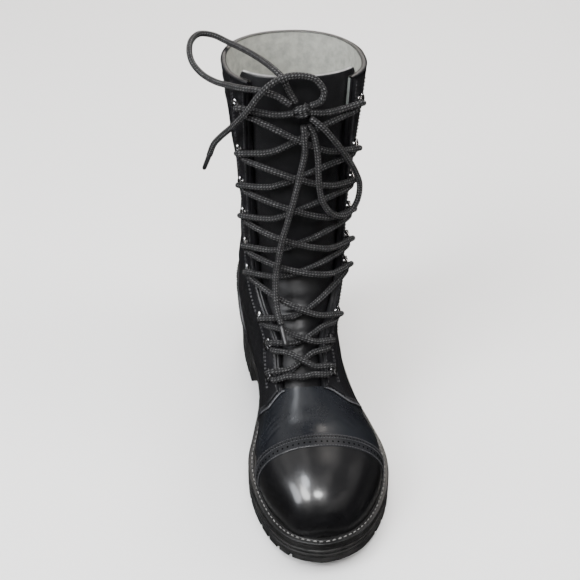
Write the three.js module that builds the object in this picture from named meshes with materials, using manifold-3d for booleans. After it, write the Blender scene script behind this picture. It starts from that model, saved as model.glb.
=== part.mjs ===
// Combat boot for the left foot, standing empty on its sole.
// Millimetres. +Z is up, the toe points along -Y and +X is the outer side of the foot.
// The origin lies on the floor under the middle of the sole.
import * as THREE from 'three';
import { mergeVertices } from 'three/addons/utils/BufferGeometryUtils.js';
import Module from 'manifold-3d';

const wasm = await Module();
wasm.setup();

// Driving sizes of the whole boot
const SOLE_LENGTH = 306;
const BALL_WIDTH = 110;
const INSTEP_HEIGHT = 78;
const SHAFT_HEIGHT = 197;
const COLLAR_DIP = 10;
const TOE_SPRING = 12;
const HEEL_RISE = 20;

// Layers of the sole, from the floor up
const GAP = 0.3;
const LUG_HEIGHT = 5.5;
const OUTSOLE_THICKNESS = 7;
const MIDSOLE_THICKNESS = 3.6;
const WELT_THICKNESS = 3.3;
const MIDSOLE_STEP = 0.8;
const WELT_LEDGE = 1.6;
const INSOLE_LIFT = 2.4;

// Tread
const GROOVE_WIDTH = 3.6;
const SLOT_HEIGHT = 3.6;
const GROOVE_PITCH = 17;
const EDGE_LUG_LENGTH = 18;
const CHANNEL_WIDTH = 4;
const BARS_IN_CHANNEL = 2.4;
const TREAD_OVERLAP = 0.5;

// Leather
const WALL = 2.4;
const QUARTER_STEP = 1.4;
const OVERLAY = 1.6;
const TONGUE_THICKNESS = 2.4;
const TUCK = 8;

// Throat and facings, measured across the front of the boot
const THROAT_LOW = 16;
const THROAT_HIGH = 36;
const THROAT_FOOT = 0.1;
const THROAT_TAPER = 0.8;
const THROAT_FLARE_START = 3.4;
const THROAT_FLARE_LENGTH = 4.2;
const EYESTAY_WIDTH = 16;
const EYESTAY_INSET = 1;
const TONGUE_REACH = 11;
const TONGUE_RISE = 0.2;
const TONGUE_TUCK = 0.5;
const BACKSTAY_WIDTH = 24;
const COUNTER_HEIGHT = 70;

// Hardware
const RIVET_DIAMETER = 8;
const RIVET_DOME = 2.2;
const RIVET_BASE = 1.2;
const DOME_SIDE = 0.8;
const DOME_SHOULDER = 1.9;
const SHOULDER_DIAMETER = 4.4;
const WIRE = 2;
const RING_WIDTH = 9;
const RING_LENGTH = 8;
const RING_TILT = 0.6;
const RIVET_FROM_EDGE = 9;

// Lace
const LACE = 4.6;
const LACE_MIDDLE_LIFT = 2.5;
const KNOT_ROUND = 7;
const KNOT_ROW = 21.4;
const LACE_SIDES = 8;

// Numbers of facets
const LOFT_SIDES = 20;
const OUTLINE_SIDES = 52;
const PROFILE_STEPS = 18;
const RIVET_SIDES = 7;
const WIRE_SIDES = 4;
const WIRE_STEPS = 5;
const STRAND_SIDES = 6;
const STRAND_STEPS = 4;
const KNOT_SIDES = 10;

const TOE = -SOLE_LENGTH / 2;
const HEEL = SOLE_LENGTH / 2;
const SPRING_START = -0.33 * SOLE_LENGTH;
const SHANK_START = -0.13 * SOLE_LENGTH;
const HEEL_BREAST = 0.2 * SOLE_LENGTH;
const TREAD_END = -0.06 * SOLE_LENGTH;

const OUTSOLE_TOP = LUG_HEIGHT + OUTSOLE_THICKNESS;
const MIDSOLE_BOTTOM = OUTSOLE_TOP + GAP;
const MIDSOLE_TOP = MIDSOLE_BOTTOM + MIDSOLE_THICKNESS;
const WELT_BOTTOM = MIDSOLE_TOP + GAP;
const WELT_TOP = WELT_BOTTOM + WELT_THICKNESS;
const UPPER_BOTTOM = WELT_TOP + GAP;

const SPRING_POWER = 1.7;

// Height of the sole's underside over the floor, without the heel block
function smooth(share) {
  const x = Math.min(1, Math.max(0, share));
  return x * x * (3 - 2 * x);
}

function rise(y) {
  const spring = Math.max(0, (SPRING_START - y) / (SPRING_START - TOE));
  const shank = smooth((y - SHANK_START) / (HEEL_BREAST - SHANK_START));
  return TOE_SPRING * spring ** SPRING_POWER + HEEL_RISE * shank;
}

// Plan outline of the sole, toe to heel, as shares of the sole's length and the ball's width
const OUTLINE = [
  { along: -0.500, lateral: -0.012, medial: -0.012 },
  { along: -0.490, lateral: 0.100, medial: -0.115 },
  { along: -0.467, lateral: 0.210, medial: -0.212 },
  { along: -0.435, lateral: 0.298, medial: -0.282 },
  { along: -0.395, lateral: 0.375, medial: -0.338 },
  { along: -0.350, lateral: 0.442, medial: -0.382 },
  { along: -0.295, lateral: 0.500, medial: -0.422 },
  { along: -0.230, lateral: 0.535, medial: -0.445 },
  { along: -0.160, lateral: 0.532, medial: -0.436 },
  { along: -0.080, lateral: 0.484, medial: -0.382 },
  { along: 0.015, lateral: 0.400, medial: -0.318 },
  { along: 0.115, lateral: 0.352, medial: -0.306 },
  { along: 0.210, lateral: 0.350, medial: -0.345 },
  { along: 0.310, lateral: 0.360, medial: -0.372 },
  { along: 0.390, lateral: 0.352, medial: -0.366 },
  { along: 0.450, lateral: 0.298, medial: -0.312 },
  { along: 0.485, lateral: 0.192, medial: -0.204 },
  { along: 0.500, lateral: -0.006, medial: -0.006 },
];

function outlinePoints() {
  const place = (row, side) => new THREE.Vector3(row[side] * BALL_WIDTH, row.along * SOLE_LENGTH, 0);
  const inner = OUTLINE.slice(1, -1);
  const points = [
    ...OUTLINE.map((row) => place(row, 'lateral')),
    ...inner.reverse().map((row) => place(row, 'medial')),
  ];
  const curve = new THREE.CatmullRomCurve3(points, true, 'centripetal');
  return curve.getSpacedPoints(OUTLINE_SIDES).slice(0, -1).map((p) => new THREE.Vector2(p.x, p.y));
}

const SOLE_EDGE = outlinePoints();

function outwardAt(points, index) {
  const before = points[(index + points.length - 1) % points.length];
  const after = points[(index + 1) % points.length];
  const along = after.clone().sub(before).normalize();
  return new THREE.Vector2(along.y, -along.x);
}

function inset(points, distance) {
  return points.map((p, i) => p.clone().addScaledVector(outwardAt(points, i), -distance));
}

// Sections of the upper from the toe to above the collar. Each one is a closed curve in the plane
// between a point on the front ridge and a point on the bottom or the back.
// frontY and backY are shares of the sole's length. frontZ is the share of the instep's height up
// to 1, and of the shaft's height past it. backZ is the share of the back's height. The others are
// shares of the ball's width, the place of the widest line, and the squareness of front and back.
const SECTIONS = [
  { frontY: -0.462, frontZ: 0.30, backY: -0.462, backZ: 0,
    crest: -0.012, base: -0.012, lateral: 0.085, medial: 0.085, widest: 0.50, front: 2.0, back: 2.4 },
  { frontY: -0.451, frontZ: 0.39, backY: -0.452, backZ: 0,
    crest: -0.012, base: -0.006, lateral: 0.155, medial: 0.152, widest: 0.58, front: 2.1, back: 3.2 },
  { frontY: -0.432, frontZ: 0.47, backY: -0.432, backZ: 0,
    crest: -0.012, base: -0.002, lateral: 0.218, medial: 0.203, widest: 0.62, front: 2.2, back: 3.8 },
  { frontY: -0.405, frontZ: 0.535, backY: -0.402, backZ: 0,
    crest: -0.014, base: 0.003, lateral: 0.282, medial: 0.250, widest: 0.65, front: 2.2, back: 4.2 },
  { frontY: -0.368, frontZ: 0.59, backY: -0.360, backZ: 0,
    crest: -0.016, base: 0.006, lateral: 0.352, medial: 0.305, widest: 0.67, front: 2.2, back: 4.5 },
  { frontY: -0.324, frontZ: 0.625, backY: -0.310, backZ: 0,
    crest: -0.02, base: 0.006, lateral: 0.42, medial: 0.352, widest: 0.68, front: 2.15, back: 4.5 },
  { frontY: -0.278, frontZ: 0.66, backY: -0.245, backZ: 0,
    crest: -0.026, base: 0.005, lateral: 0.465, medial: 0.382, widest: 0.68, front: 2.1, back: 4.5 },
  { frontY: -0.235, frontZ: 0.70, backY: -0.163, backZ: 0,
    crest: -0.034, base: 0.003, lateral: 0.475, medial: 0.378, widest: 0.68, front: 2.05, back: 4.5 },
  { frontY: -0.196, frontZ: 0.76, backY: -0.072, backZ: 0,
    crest: -0.044, base: 0, lateral: 0.43, medial: 0.335, widest: 0.68, front: 2.0, back: 4.2 },
  { frontY: -0.160, frontZ: 0.82, backY: 0.033, backZ: 0,
    crest: -0.048, base: 0, lateral: 0.36, medial: 0.29, widest: 0.66, front: 2.0, back: 4.0 },
  { frontY: -0.130, frontZ: 0.88, backY: 0.137, backZ: 0,
    crest: -0.048, base: 0, lateral: 0.322, medial: 0.288, widest: 0.64, front: 2.0, back: 3.6 },
  { frontY: -0.105, frontZ: 0.94, backY: 0.245, backZ: 0,
    crest: -0.045, base: 0, lateral: 0.32, medial: 0.315, widest: 0.62, front: 2.0, back: 3.3 },
  { frontY: -0.082, frontZ: 1.00, backY: 0.378, backZ: 0,
    crest: -0.04, base: 0, lateral: 0.325, medial: 0.34, widest: 0.60, front: 2.0, back: 3.0 },
  { frontY: -0.059, frontZ: 1.03, backY: 0.474, backZ: 0,
    crest: -0.03, base: 0, lateral: 0.335, medial: 0.36, widest: 0.58, front: 2.0, back: 2.8 },
  { frontY: -0.033, frontZ: 1.065, backY: 0.487, backZ: 0.09,
    crest: -0.02, base: 0, lateral: 0.345, medial: 0.374, widest: 0.57, front: 2.0, back: 2.7 },
  { frontY: -0.003, frontZ: 1.11, backY: 0.488, backZ: 0.157,
    crest: -0.01, base: 0, lateral: 0.35, medial: 0.382, widest: 0.56, front: 2.1, back: 2.6 },
  { frontY: 0.029, frontZ: 1.18, backY: 0.480, backZ: 0.243,
    crest: 0, base: 0, lateral: 0.352, medial: 0.378, widest: 0.54, front: 2.2, back: 2.4 },
  { frontY: 0.052, frontZ: 1.27, backY: 0.466, backZ: 0.348,
    crest: 0, base: 0, lateral: 0.35, medial: 0.366, widest: 0.52, front: 2.3, back: 2.3 },
  { frontY: 0.067, frontZ: 1.39, backY: 0.456, backZ: 0.461,
    crest: 0, base: 0, lateral: 0.352, medial: 0.358, widest: 0.50, front: 2.4, back: 2.2 },
  { frontY: 0.075, frontZ: 1.54, backY: 0.454, backZ: 0.578,
    crest: 0, base: 0, lateral: 0.368, medial: 0.366, widest: 0.50, front: 2.4, back: 2.2 },
  { frontY: 0.083, frontZ: 1.69, backY: 0.459, backZ: 0.704,
    crest: 0, base: 0, lateral: 0.4, medial: 0.392, widest: 0.48, front: 2.4, back: 2.2 },
  { frontY: 0.088, frontZ: 1.85, backY: 0.467, backZ: 0.852,
    crest: 0.005, base: 0, lateral: 0.44, medial: 0.43, widest: 0.47, front: 2.4, back: 2.2 },
  { frontY: 0.092, frontZ: 2.00, backY: 0.477, backZ: 1.00,
    crest: 0.01, base: 0, lateral: 0.475, medial: 0.462, widest: 0.46, front: 2.4, back: 2.2 },
  { frontY: 0.095, frontZ: 2.12, backY: 0.484, backZ: 1.09,
    crest: 0.01, base: 0, lateral: 0.495, medial: 0.482, widest: 0.45, front: 2.4, back: 2.2 },
];

const LAST_ROW = SECTIONS.length - 1;
const COLLAR_ROW = LAST_ROW - 1;
const ABOVE_COLLAR = 0.5;
const CLEAR_OF_COLLAR = 0.9;
const CAP_ROW = 6;
const THROAT_ROW = 9;
const ANKLE_ROW = 14;

function frontHeight(share) {
  const foot = Math.min(share, 1) * INSTEP_HEIGHT;
  const shaft = Math.max(share - 1, 0) * SHAFT_HEIGHT;
  return UPPER_BOTTOM + foot + shaft;
}

function backHeight(y, share) {
  const low = rise(y) + UPPER_BOTTOM - TUCK;
  const high = frontHeight(2) - COLLAR_DIP;
  return low + share * (high - low);
}

const ROWS = SECTIONS.map((s) => ({
  frontY: s.frontY * SOLE_LENGTH,
  frontZ: frontHeight(s.frontZ),
  backY: s.backY * SOLE_LENGTH,
  backZ: backHeight(s.backY * SOLE_LENGTH, s.backZ),
  crest: s.crest * BALL_WIDTH,
  base: s.base * BALL_WIDTH,
  lateral: s.lateral * BALL_WIDTH,
  medial: s.medial * BALL_WIDTH,
  widest: s.widest,
  front: s.front,
  back: s.back,
}));

// A value between the rows, on a smooth curve through its neighbours
function rowValue(key, u) {
  const last = ROWS.length - 1;
  const i = Math.min(last - 1, Math.max(0, Math.floor(u)));
  const t = u - i;
  const b = ROWS[i][key];
  const c = ROWS[i + 1][key];
  const a = i > 0 ? ROWS[i - 1][key] : 2 * b - c;
  const d = i < last - 1 ? ROWS[i + 2][key] : 2 * c - b;
  const linear = c - a;
  const square = 2 * a - 5 * b + 4 * c - d;
  const cube = 3 * (b - c) + d - a;
  return b + 0.5 * t * (linear + t * (square + t * cube));
}

// The upper's outer surface. The angle is 0 on the front ridge and half a turn on the back, and
// positive on the lateral side.
function surface(u, angle) {
  const cos = Math.cos(angle);
  const sin = Math.sin(angle);
  const power = rowValue(cos > 0 ? 'front' : 'back', u);
  const reach = (Math.abs(sin) ** power + Math.abs(cos) ** power) ** (-1 / power);
  const widest = rowValue('widest', u);
  const down = widest - reach * cos * (cos > 0 ? widest : 1 - widest);
  const half = rowValue(sin > 0 ? 'lateral' : 'medial', u);
  const crest = rowValue('crest', u);
  const frontY = rowValue('frontY', u);
  const frontZ = rowValue('frontZ', u);
  return new THREE.Vector3(
    crest + down * (rowValue('base', u) - crest) + reach * sin * half,
    frontY + down * (rowValue('backY', u) - frontY),
    frontZ + down * (rowValue('backZ', u) - frontZ),
  );
}

const STEP_U = 0.02;
const STEP_ANGLE = 0.01;

function normalAt(u, angle) {
  const low = Math.max(0, u - STEP_U);
  const along = surface(low + 2 * STEP_U, angle).sub(surface(low, angle));
  const around = surface(u, angle + STEP_ANGLE).sub(surface(u, angle - STEP_ANGLE));
  return along.cross(around).normalize().negate();
}

function offsetPoint(u, angle, offset) {
  return surface(u, angle).addScaledVector(normalAt(u, angle), offset);
}

// The angle of the place that lies a given distance from the front ridge, across the boot
function angleFromRidge(u, distance) {
  const half = rowValue(distance > 0 ? 'lateral' : 'medial', u);
  const power = rowValue('front', u);
  const share = Math.min(0.999, Math.abs(distance) / half);
  const angle = Math.atan2(share, (1 - share ** power) ** (1 / power));
  return Math.sign(distance) * angle;
}

// The angle of the place a given length around the surface from another angle
const WALK_STEPS = 24;

function angleAfter(u, angle, length) {
  const reach = Math.sign(length) * Math.PI / 2;
  let travelled = 0;
  let here = surface(u, angle);
  for (let i = 1; i <= WALK_STEPS; i += 1) {
    const next = surface(u, angle + reach * i / WALK_STEPS);
    const step = next.distanceTo(here);
    if (step > 0 && travelled + step >= Math.abs(length)) {
      return angle + reach * (i - 1 + (Math.abs(length) - travelled) / step) / WALK_STEPS;
    }
    travelled += step;
    here = next;
  }
  return angle + reach;
}

// Half the throat's width: narrow over the lowest rings, wider up the shaft
function throatHalf(u) {
  const share = smooth((u - THROAT_ROW - THROAT_FLARE_START) / THROAT_FLARE_LENGTH);
  const high = THROAT_HIGH - (COLLAR_ROW - u) * THROAT_TAPER;
  return THROAT_LOW + (high - THROAT_LOW) * share;
}

// Closed solids

function toManifold(geometry) {
  const bare = geometry.index ? geometry.toNonIndexed() : geometry.clone();
  bare.deleteAttribute('normal');
  bare.deleteAttribute('uv');
  const merged = mergeVertices(bare, 1e-4);
  return new wasm.Manifold(new wasm.Mesh({
    numProp: 3,
    vertProperties: new Float32Array(merged.attributes.position.array),
    triVerts: new Uint32Array(merged.index.array),
  }));
}

// Corners that a cut left closer together than this become one corner
const SHORTEST_EDGE = 0.02;

function weldShortEdges(points, triangles) {
  const same = points.map((_, i) => i);
  const find = (i) => (same[i] === i ? i : find(same[i]));
  for (let i = 0; i < triangles.length; i += 3) {
    for (let k = 0; k < 3; k += 1) {
      const a = find(triangles[i + k]);
      const b = find(triangles[i + (k + 1) % 3]);
      if (a !== b && points[a].distanceTo(points[b]) < SHORTEST_EDGE) {
        same[b] = a;
      }
    }
  }
  const kept = [];
  for (let i = 0; i < triangles.length; i += 3) {
    const corners = [find(triangles[i]), find(triangles[i + 1]), find(triangles[i + 2])];
    if (new Set(corners).size === 3) {
      kept.push(...corners);
    }
  }
  return kept;
}

function toGeometry(solid) {
  const mesh = solid.getMesh();
  const points = [];
  for (let i = 0; i < mesh.numVert; i += 1) {
    points.push(new THREE.Vector3().fromArray(mesh.vertProperties, i * mesh.numProp));
  }
  const geometry = new THREE.BufferGeometry();
  const corners = points.flatMap((p) => p.toArray());
  geometry.setAttribute('position', new THREE.Float32BufferAttribute(corners, 3));
  geometry.setIndex(weldShortEdges(points, Array.from(mesh.triVerts)));
  const closed = mergeVertices(geometry, SHORTEST_EDGE / 100);
  closed.computeVertexNormals();
  return closed;
}

function union(solids) {
  return solids.reduce((whole, next) => whole.add(next));
}

function fromTriangles(points, faces) {
  const geometry = new THREE.BufferGeometry();
  const corners = points.flatMap((p) => p.toArray());
  geometry.setAttribute('position', new THREE.Float32BufferAttribute(corners, 3));
  geometry.setIndex(faces.flat());
  return toManifold(geometry);
}

// A closed tube of rings, each with as many points, with a flat cap at each end
function ringsSolid(rings) {
  const count = rings[0].length;
  const points = rings.flat();
  const faces = [];
  for (let i = 0; i < rings.length - 1; i += 1) {
    for (let j = 0; j < count; j += 1) {
      const a = i * count + j;
      const b = i * count + (j + 1) % count;
      faces.push([a, b, b + count], [a, b + count, a + count]);
    }
  }
  const last = (rings.length - 1) * count;
  const middle = (ring) => ring.reduce((sum, p) => sum.add(p), new THREE.Vector3()).divideScalar(count);
  points.push(middle(rings[0]), middle(rings[rings.length - 1]));
  for (let j = 0; j < count; j += 1) {
    const next = (j + 1) % count;
    faces.push([points.length - 2, next, j], [points.length - 1, last + j, last + next]);
  }
  return fromTriangles(points, faces);
}

function steps(from, to, count) {
  return Array.from({ length: count + 1 }, (_, i) => from + (to - from) * i / count);
}

// Places along the boot where every form and patch has a ring, so that their facets match
const RINGS = [
  ...steps(0, CAP_ROW, 6),
  ...steps(CAP_ROW, ANKLE_ROW, 12).slice(1),
  ...steps(ANKLE_ROW, LAST_ROW, 9).slice(1),
];
const RING_MARGIN = 0.08;

function stations(from, to) {
  return [from, ...RINGS.filter((u) => u > from + RING_MARGIN && u < to - RING_MARGIN), to];
}

const ACROSS_THROAT = 6;

// The upper's form, grown or shrunk by an offset, from the toe to a row
function form(offset, topRow = COLLAR_ROW) {
  const rings = stations(0, topRow).map((u) => (
    steps(0, 2 * Math.PI, LOFT_SIDES).slice(0, -1).map((angle) => offsetPoint(u, angle, offset))
  ));
  return ringsSolid(rings);
}

// A piece of the surface between two offsets, from one row to another. place(u, t) gives the row
// and the angle of a point for the row u and the share t of the way around.
function patch(place, fromRow, toRow, near, far, countT) {
  const rings = stations(fromRow, toRow).map((u) => {
    const line = steps(0, 1, countT).map((t) => place(u, t));
    const outer = line.map(([u, angle]) => offsetPoint(u, angle, far));
    const inner = line.map(([u, angle]) => offsetPoint(u, angle, near));
    return [...outer, ...inner.reverse()];
  });
  return ringsSolid(rings);
}

// Prisms with their plan outline on the floor, or their side outline across the boot
function planPrism(points, low, high) {
  const geometry = new THREE.ExtrudeGeometry(new THREE.Shape(points), {
    depth: high - low, bevelEnabled: false,
  });
  geometry.translate(0, 0, low);
  return toManifold(geometry);
}

const CLEAR = 20;
const REACH = 8;

function acrossPrism(points) {
  const geometry = new THREE.ExtrudeGeometry(new THREE.Shape(points), {
    depth: 2 * BALL_WIDTH, bevelEnabled: false,
  });
  geometry.translate(0, 0, -BALL_WIDTH);
  geometry.applyMatrix4(new THREE.Matrix4().makeBasis(
    new THREE.Vector3(0, 1, 0), new THREE.Vector3(0, 0, 1), new THREE.Vector3(1, 0, 0),
  ));
  return toManifold(geometry);
}

function sidePrism(low, high, fromY, toY) {
  const places = steps(fromY, toY, PROFILE_STEPS);
  return acrossPrism([
    ...places.map((y) => new THREE.Vector2(y, low(y))),
    ...places.slice().reverse().map((y) => new THREE.Vector2(y, high(y))),
  ]);
}

function layer(points, low, high, fromY = TOE - CLEAR, toY = HEEL + CLEAR) {
  const side = sidePrism((y) => rise(y) + low, (y) => rise(y) + high, fromY, toY);
  return planPrism(points, -CLEAR, 5 * CLEAR).intersect(side);
}

function block(width, length, height, x, y, z, turn = 0) {
  const geometry = new THREE.BoxGeometry(width, length, height);
  geometry.rotateZ(turn);
  geometry.translate(x, y, z);
  return toManifold(geometry);
}

// Grooves of the tread: slots in from the edge, a channel behind them and bars across the middle
function treadGrooves(fromY, toY, slotHeight, depth) {
  const slots = [];
  const length = 2 * CLEAR;
  let travelled = 0;
  let cut = GROOVE_PITCH / 2;
  SOLE_EDGE.forEach((p, i) => {
    const next = SOLE_EDGE[(i + 1) % SOLE_EDGE.length];
    const inside = p.y > fromY && p.y < toY;
    travelled += inside ? p.distanceTo(next) : 0;
    if (inside && travelled > cut) {
      const outward = outwardAt(SOLE_EDGE, i);
      const centre = p.clone().addScaledVector(outward, length / 2 - EDGE_LUG_LENGTH - CHANNEL_WIDTH / 2);
      const turned = Math.atan2(outward.y, outward.x);
      slots.push(block(length, GROOVE_WIDTH, 2 * slotHeight, centre.x, centre.y, 0, turned));
      cut += GROOVE_PITCH;
    }
  });
  const channel = planPrism(inset(SOLE_EDGE, EDGE_LUG_LENGTH), -depth, depth)
    .subtract(planPrism(inset(SOLE_EDGE, EDGE_LUG_LENGTH + CHANNEL_WIDTH), -2 * depth, 2 * depth));
  const middle = planPrism(inset(SOLE_EDGE, EDGE_LUG_LENGTH + BARS_IN_CHANNEL), -2 * depth, 2 * depth);
  const bars = [];
  for (let y = fromY + GROOVE_PITCH; y < toY; y += GROOVE_PITCH) {
    bars.push(block(2 * BALL_WIDTH, CHANNEL_WIDTH, 2 * depth, 0, y, 0));
  }
  return { slots: union(slots), middle: channel.add(union(bars).intersect(middle)) };
}

function makeOutsole() {
  const base = layer(SOLE_EDGE, LUG_HEIGHT, OUTSOLE_TOP);
  const tread = layer(SOLE_EDGE, 0, LUG_HEIGHT + TREAD_OVERLAP, TOE - CLEAR, TREAD_END);
  const around = inset(SOLE_EDGE, -CLEAR / 4);
  const under = (height) => layer(around, -CLEAR, height, TOE - CLEAR, TREAD_END);
  const grooves = treadGrooves(TOE - CLEAR / 4, TREAD_END, 4 * CLEAR, 4 * CLEAR);
  return base.add(tread)
    .subtract(grooves.slots.intersect(under(SLOT_HEIGHT)))
    .subtract(grooves.middle.intersect(under(LUG_HEIGHT)));
}

function makeHeel() {
  const heelTop = (y) => rise(y) + LUG_HEIGHT - GAP;
  const edge = inset(SOLE_EDGE, MIDSOLE_STEP / 2);
  const side = sidePrism(() => -CLEAR, heelTop, HEEL_BREAST, HEEL + CLEAR);
  const grooves = treadGrooves(HEEL_BREAST + GROOVE_WIDTH, HEEL + CLEAR / 4, SLOT_HEIGHT, LUG_HEIGHT);
  return planPrism(edge, 0, 3 * CLEAR).intersect(side).subtract(grooves.slots).subtract(grooves.middle);
}

function makeMidsole() {
  return layer(inset(SOLE_EDGE, MIDSOLE_STEP), MIDSOLE_BOTTOM, MIDSOLE_TOP);
}

// Forms that several pieces share
const belowUpper = sidePrism(() => -2 * CLEAR, (y) => rise(y) + UPPER_BOTTOM, TOE - CLEAR, HEEL + CLEAR);

function makeWelt() {
  return layer(SOLE_EDGE, WELT_BOTTOM, WELT_TOP).subtract(form(-WELT_LEDGE));
}

function makeInsole() {
  return layer(SOLE_EDGE, WELT_BOTTOM, UPPER_BOTTOM + INSOLE_LIFT).intersect(form(-WALL - 2 * GAP));
}

// Front edge of the quarters: from the foot of the throat down and forward to the sole
const THROAT_ANGLE = angleFromRidge(THROAT_ROW, THROAT_LOW);
const QUARTER_SWEEP = 0.75;
const QUARTER_CORNER = 0.5;
const QUARTER_RINGS = 14;

function quarterFront(angle) {
  return THROAT_ROW - QUARTER_SWEEP * smooth((Math.abs(angle) - THROAT_ANGLE) / QUARTER_CORNER);
}

function throatSlot() {
  const place = (u, t) => {
    const half = throatHalf(u);
    return [u, angleFromRidge(u, -half) * (1 - t) + angleFromRidge(u, half) * t];
  };
  return patch(place, THROAT_ROW - THROAT_FOOT, COLLAR_ROW + CLEAR_OF_COLLAR, -REACH, REACH, ACROSS_THROAT);
}

function quarterRegion() {
  const from = THROAT_ANGLE / 2;
  const rings = steps(0, 1, QUARTER_RINGS).map((share) => {
    const line = steps(from, 2 * Math.PI - from, 2 * LOFT_SIDES);
    const at = (angle, offset) => {
      const front = quarterFront(angle > Math.PI ? angle - 2 * Math.PI : angle);
      return offsetPoint(front + share * (COLLAR_ROW + ABOVE_COLLAR - front), angle, offset);
    };
    const outer = line.map((angle) => at(angle, REACH));
    const inner = line.reverse().map((angle) => at(angle, -REACH));
    return [...outer, ...inner];
  });
  return ringsSolid(rings);
}

function makeUpper() {
  const quarters = form(QUARTER_STEP).intersect(quarterRegion());
  const hollow = form(-WALL, COLLAR_ROW + CLEAR_OF_COLLAR);
  return form(0).add(quarters).subtract(hollow).subtract(belowUpper).subtract(throatSlot());
}

function makeToeCap() {
  const shell = form(OVERLAY + GAP, CAP_ROW).subtract(form(GAP, CAP_ROW + 1));
  return shell.subtract(belowUpper);
}

// A piece cut between two of the upper's forms, where a region of the surface says
function overlay(region, near, far) {
  return form(far).intersect(region).subtract(form(near, COLLAR_ROW + CLEAR_OF_COLLAR));
}

const ON_QUARTER = QUARTER_STEP + GAP;

function edgeAngle(u, side, length) {
  return angleAfter(u, angleFromRidge(u, side * throatHalf(u)), side * length);
}

// The foot of the eyestay follows the quarter's front edge, up to this row
const EYESTAY_FOOT_END = THROAT_ROW + 1;
const EYESTAY_BACK = 0.12;

function eyestayRow(u, angle) {
  const foot = quarterFront(angle) + EYESTAY_BACK;
  const share = (u - THROAT_ROW) / (EYESTAY_FOOT_END - THROAT_ROW);
  return share < 1 ? foot + share * (EYESTAY_FOOT_END - foot) : u;
}

function makeEyestay(side) {
  const place = (u, t) => {
    const share = side > 0 ? t : 1 - t;
    const angle = edgeAngle(u, side, EYESTAY_INSET + share * EYESTAY_WIDTH);
    return [eyestayRow(u, angle), angle];
  };
  const region = patch(place, THROAT_ROW, COLLAR_ROW + ABOVE_COLLAR, -REACH, REACH, 4);
  return overlay(region, ON_QUARTER, ON_QUARTER + OVERLAY);
}

// Upper edge of the heel counter, seen from the side, from the waist to behind the heel
const COUNTER_EDGE = [
  { along: 0.170, up: -0.15 },
  { along: 0.200, up: 0.25 },
  { along: 0.270, up: 0.50 },
  { along: 0.370, up: 0.68 },
  { along: 0.460, up: 0.78 },
  { along: 0.540, up: 0.80 },
];

function counterSide(lift) {
  const seat = HEEL_RISE + UPPER_BOTTOM + lift;
  const edge = COUNTER_EDGE.map((row) => (
    new THREE.Vector2(row.along * SOLE_LENGTH, seat + row.up * COUNTER_HEIGHT)
  ));
  const curve = new THREE.SplineCurve(edge).getPoints(10);
  const floor = [new THREE.Vector2(edge[edge.length - 1].x, 0), new THREE.Vector2(edge[0].x, 0)];
  return acrossPrism([...curve, ...floor].reverse());
}

function makeCounter() {
  return overlay(counterSide(0), ON_QUARTER, ON_QUARTER + OVERLAY).subtract(belowUpper);
}

function makeBackstay() {
  const place = (u, t) => [u, angleAfter(u, Math.PI, (2 * t - 1) * BACKSTAY_WIDTH / 2)];
  const region = patch(place, ANKLE_ROW, COLLAR_ROW + ABOVE_COLLAR, -REACH, REACH, 2);
  return overlay(region, ON_QUARTER, ON_QUARTER + OVERLAY).subtract(counterSide(GAP));
}

function makeTongue() {
  const place = (u, t) => {
    const half = throatHalf(u) + TONGUE_REACH;
    return [u, angleFromRidge(u, -half) * (1 - t) + angleFromRidge(u, half) * t];
  };
  const top = COLLAR_ROW + ABOVE_COLLAR;
  const region = patch(place, THROAT_ROW - TONGUE_TUCK, top, -2 * REACH, REACH, ACROSS_THROAT);
  const outside = form(-WALL - GAP, COLLAR_ROW + TONGUE_RISE);
  const inside = form(-WALL - GAP - TONGUE_THICKNESS, COLLAR_ROW + CLEAR_OF_COLLAR);
  return outside.intersect(region).subtract(inside);
}

// Hardware and lacing

// Places of the rings along the throat, as rows of the sections: three low ones, then the shaft's
const RING_PLACES = [10.1, 12.6, 14.4, 16.5, 17.5, 18.45, 19.35, 20.25, 21.4];
const TOP_RING = RING_PLACES.length - 1;

function circle(diameter, sides) {
  const shape = new THREE.Shape();
  steps(0, 2 * Math.PI, sides).slice(0, -1).forEach((angle, i) => {
    const x = diameter / 2 * Math.cos(angle);
    const y = diameter / 2 * Math.sin(angle);
    if (i === 0) {
      shape.moveTo(x, y);
    } else {
      shape.lineTo(x, y);
    }
  });
  return shape;
}

function tube(points, diameter, sides, count) {
  const path = new THREE.CatmullRomCurve3(points);
  return new THREE.ExtrudeGeometry(circle(diameter, sides), {
    steps: count, bevelEnabled: false, extrudePath: path,
  });
}

// A riveted ring lying flat: the rivet's domed head and a wire loop that rises towards +Y
function makeRing() {
  const head = RIVET_DIAMETER / 2;
  const dome = new THREE.LatheGeometry([
    new THREE.Vector2(0, 0),
    new THREE.Vector2(head, 0),
    new THREE.Vector2(head, RIVET_BASE + DOME_SIDE),
    new THREE.Vector2(SHOULDER_DIAMETER / 2, RIVET_BASE + DOME_SHOULDER),
    new THREE.Vector2(0, RIVET_BASE + RIVET_DOME),
  ], RIVET_SIDES);
  dome.rotateX(Math.PI / 2);
  const start = RIVET_DIAMETER / 2 - WIRE;
  const wire = steps(0, Math.PI, WIRE_STEPS).map((angle) => new THREE.Vector3(
    -(RING_WIDTH - WIRE) / 2 * Math.cos(angle),
    start + RING_LENGTH * Math.sin(angle) * Math.cos(RING_TILT),
    WIRE / 2 + RING_LENGTH * Math.sin(angle) * Math.sin(RING_TILT),
  ));
  return toManifold(dome).add(toManifold(tube(wire, WIRE, WIRE_SIDES, WIRE_STEPS)));
}

const ringGeometry = toGeometry(makeRing());
const RING_SEAT = ON_QUARTER + OVERLAY + GAP;

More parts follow.
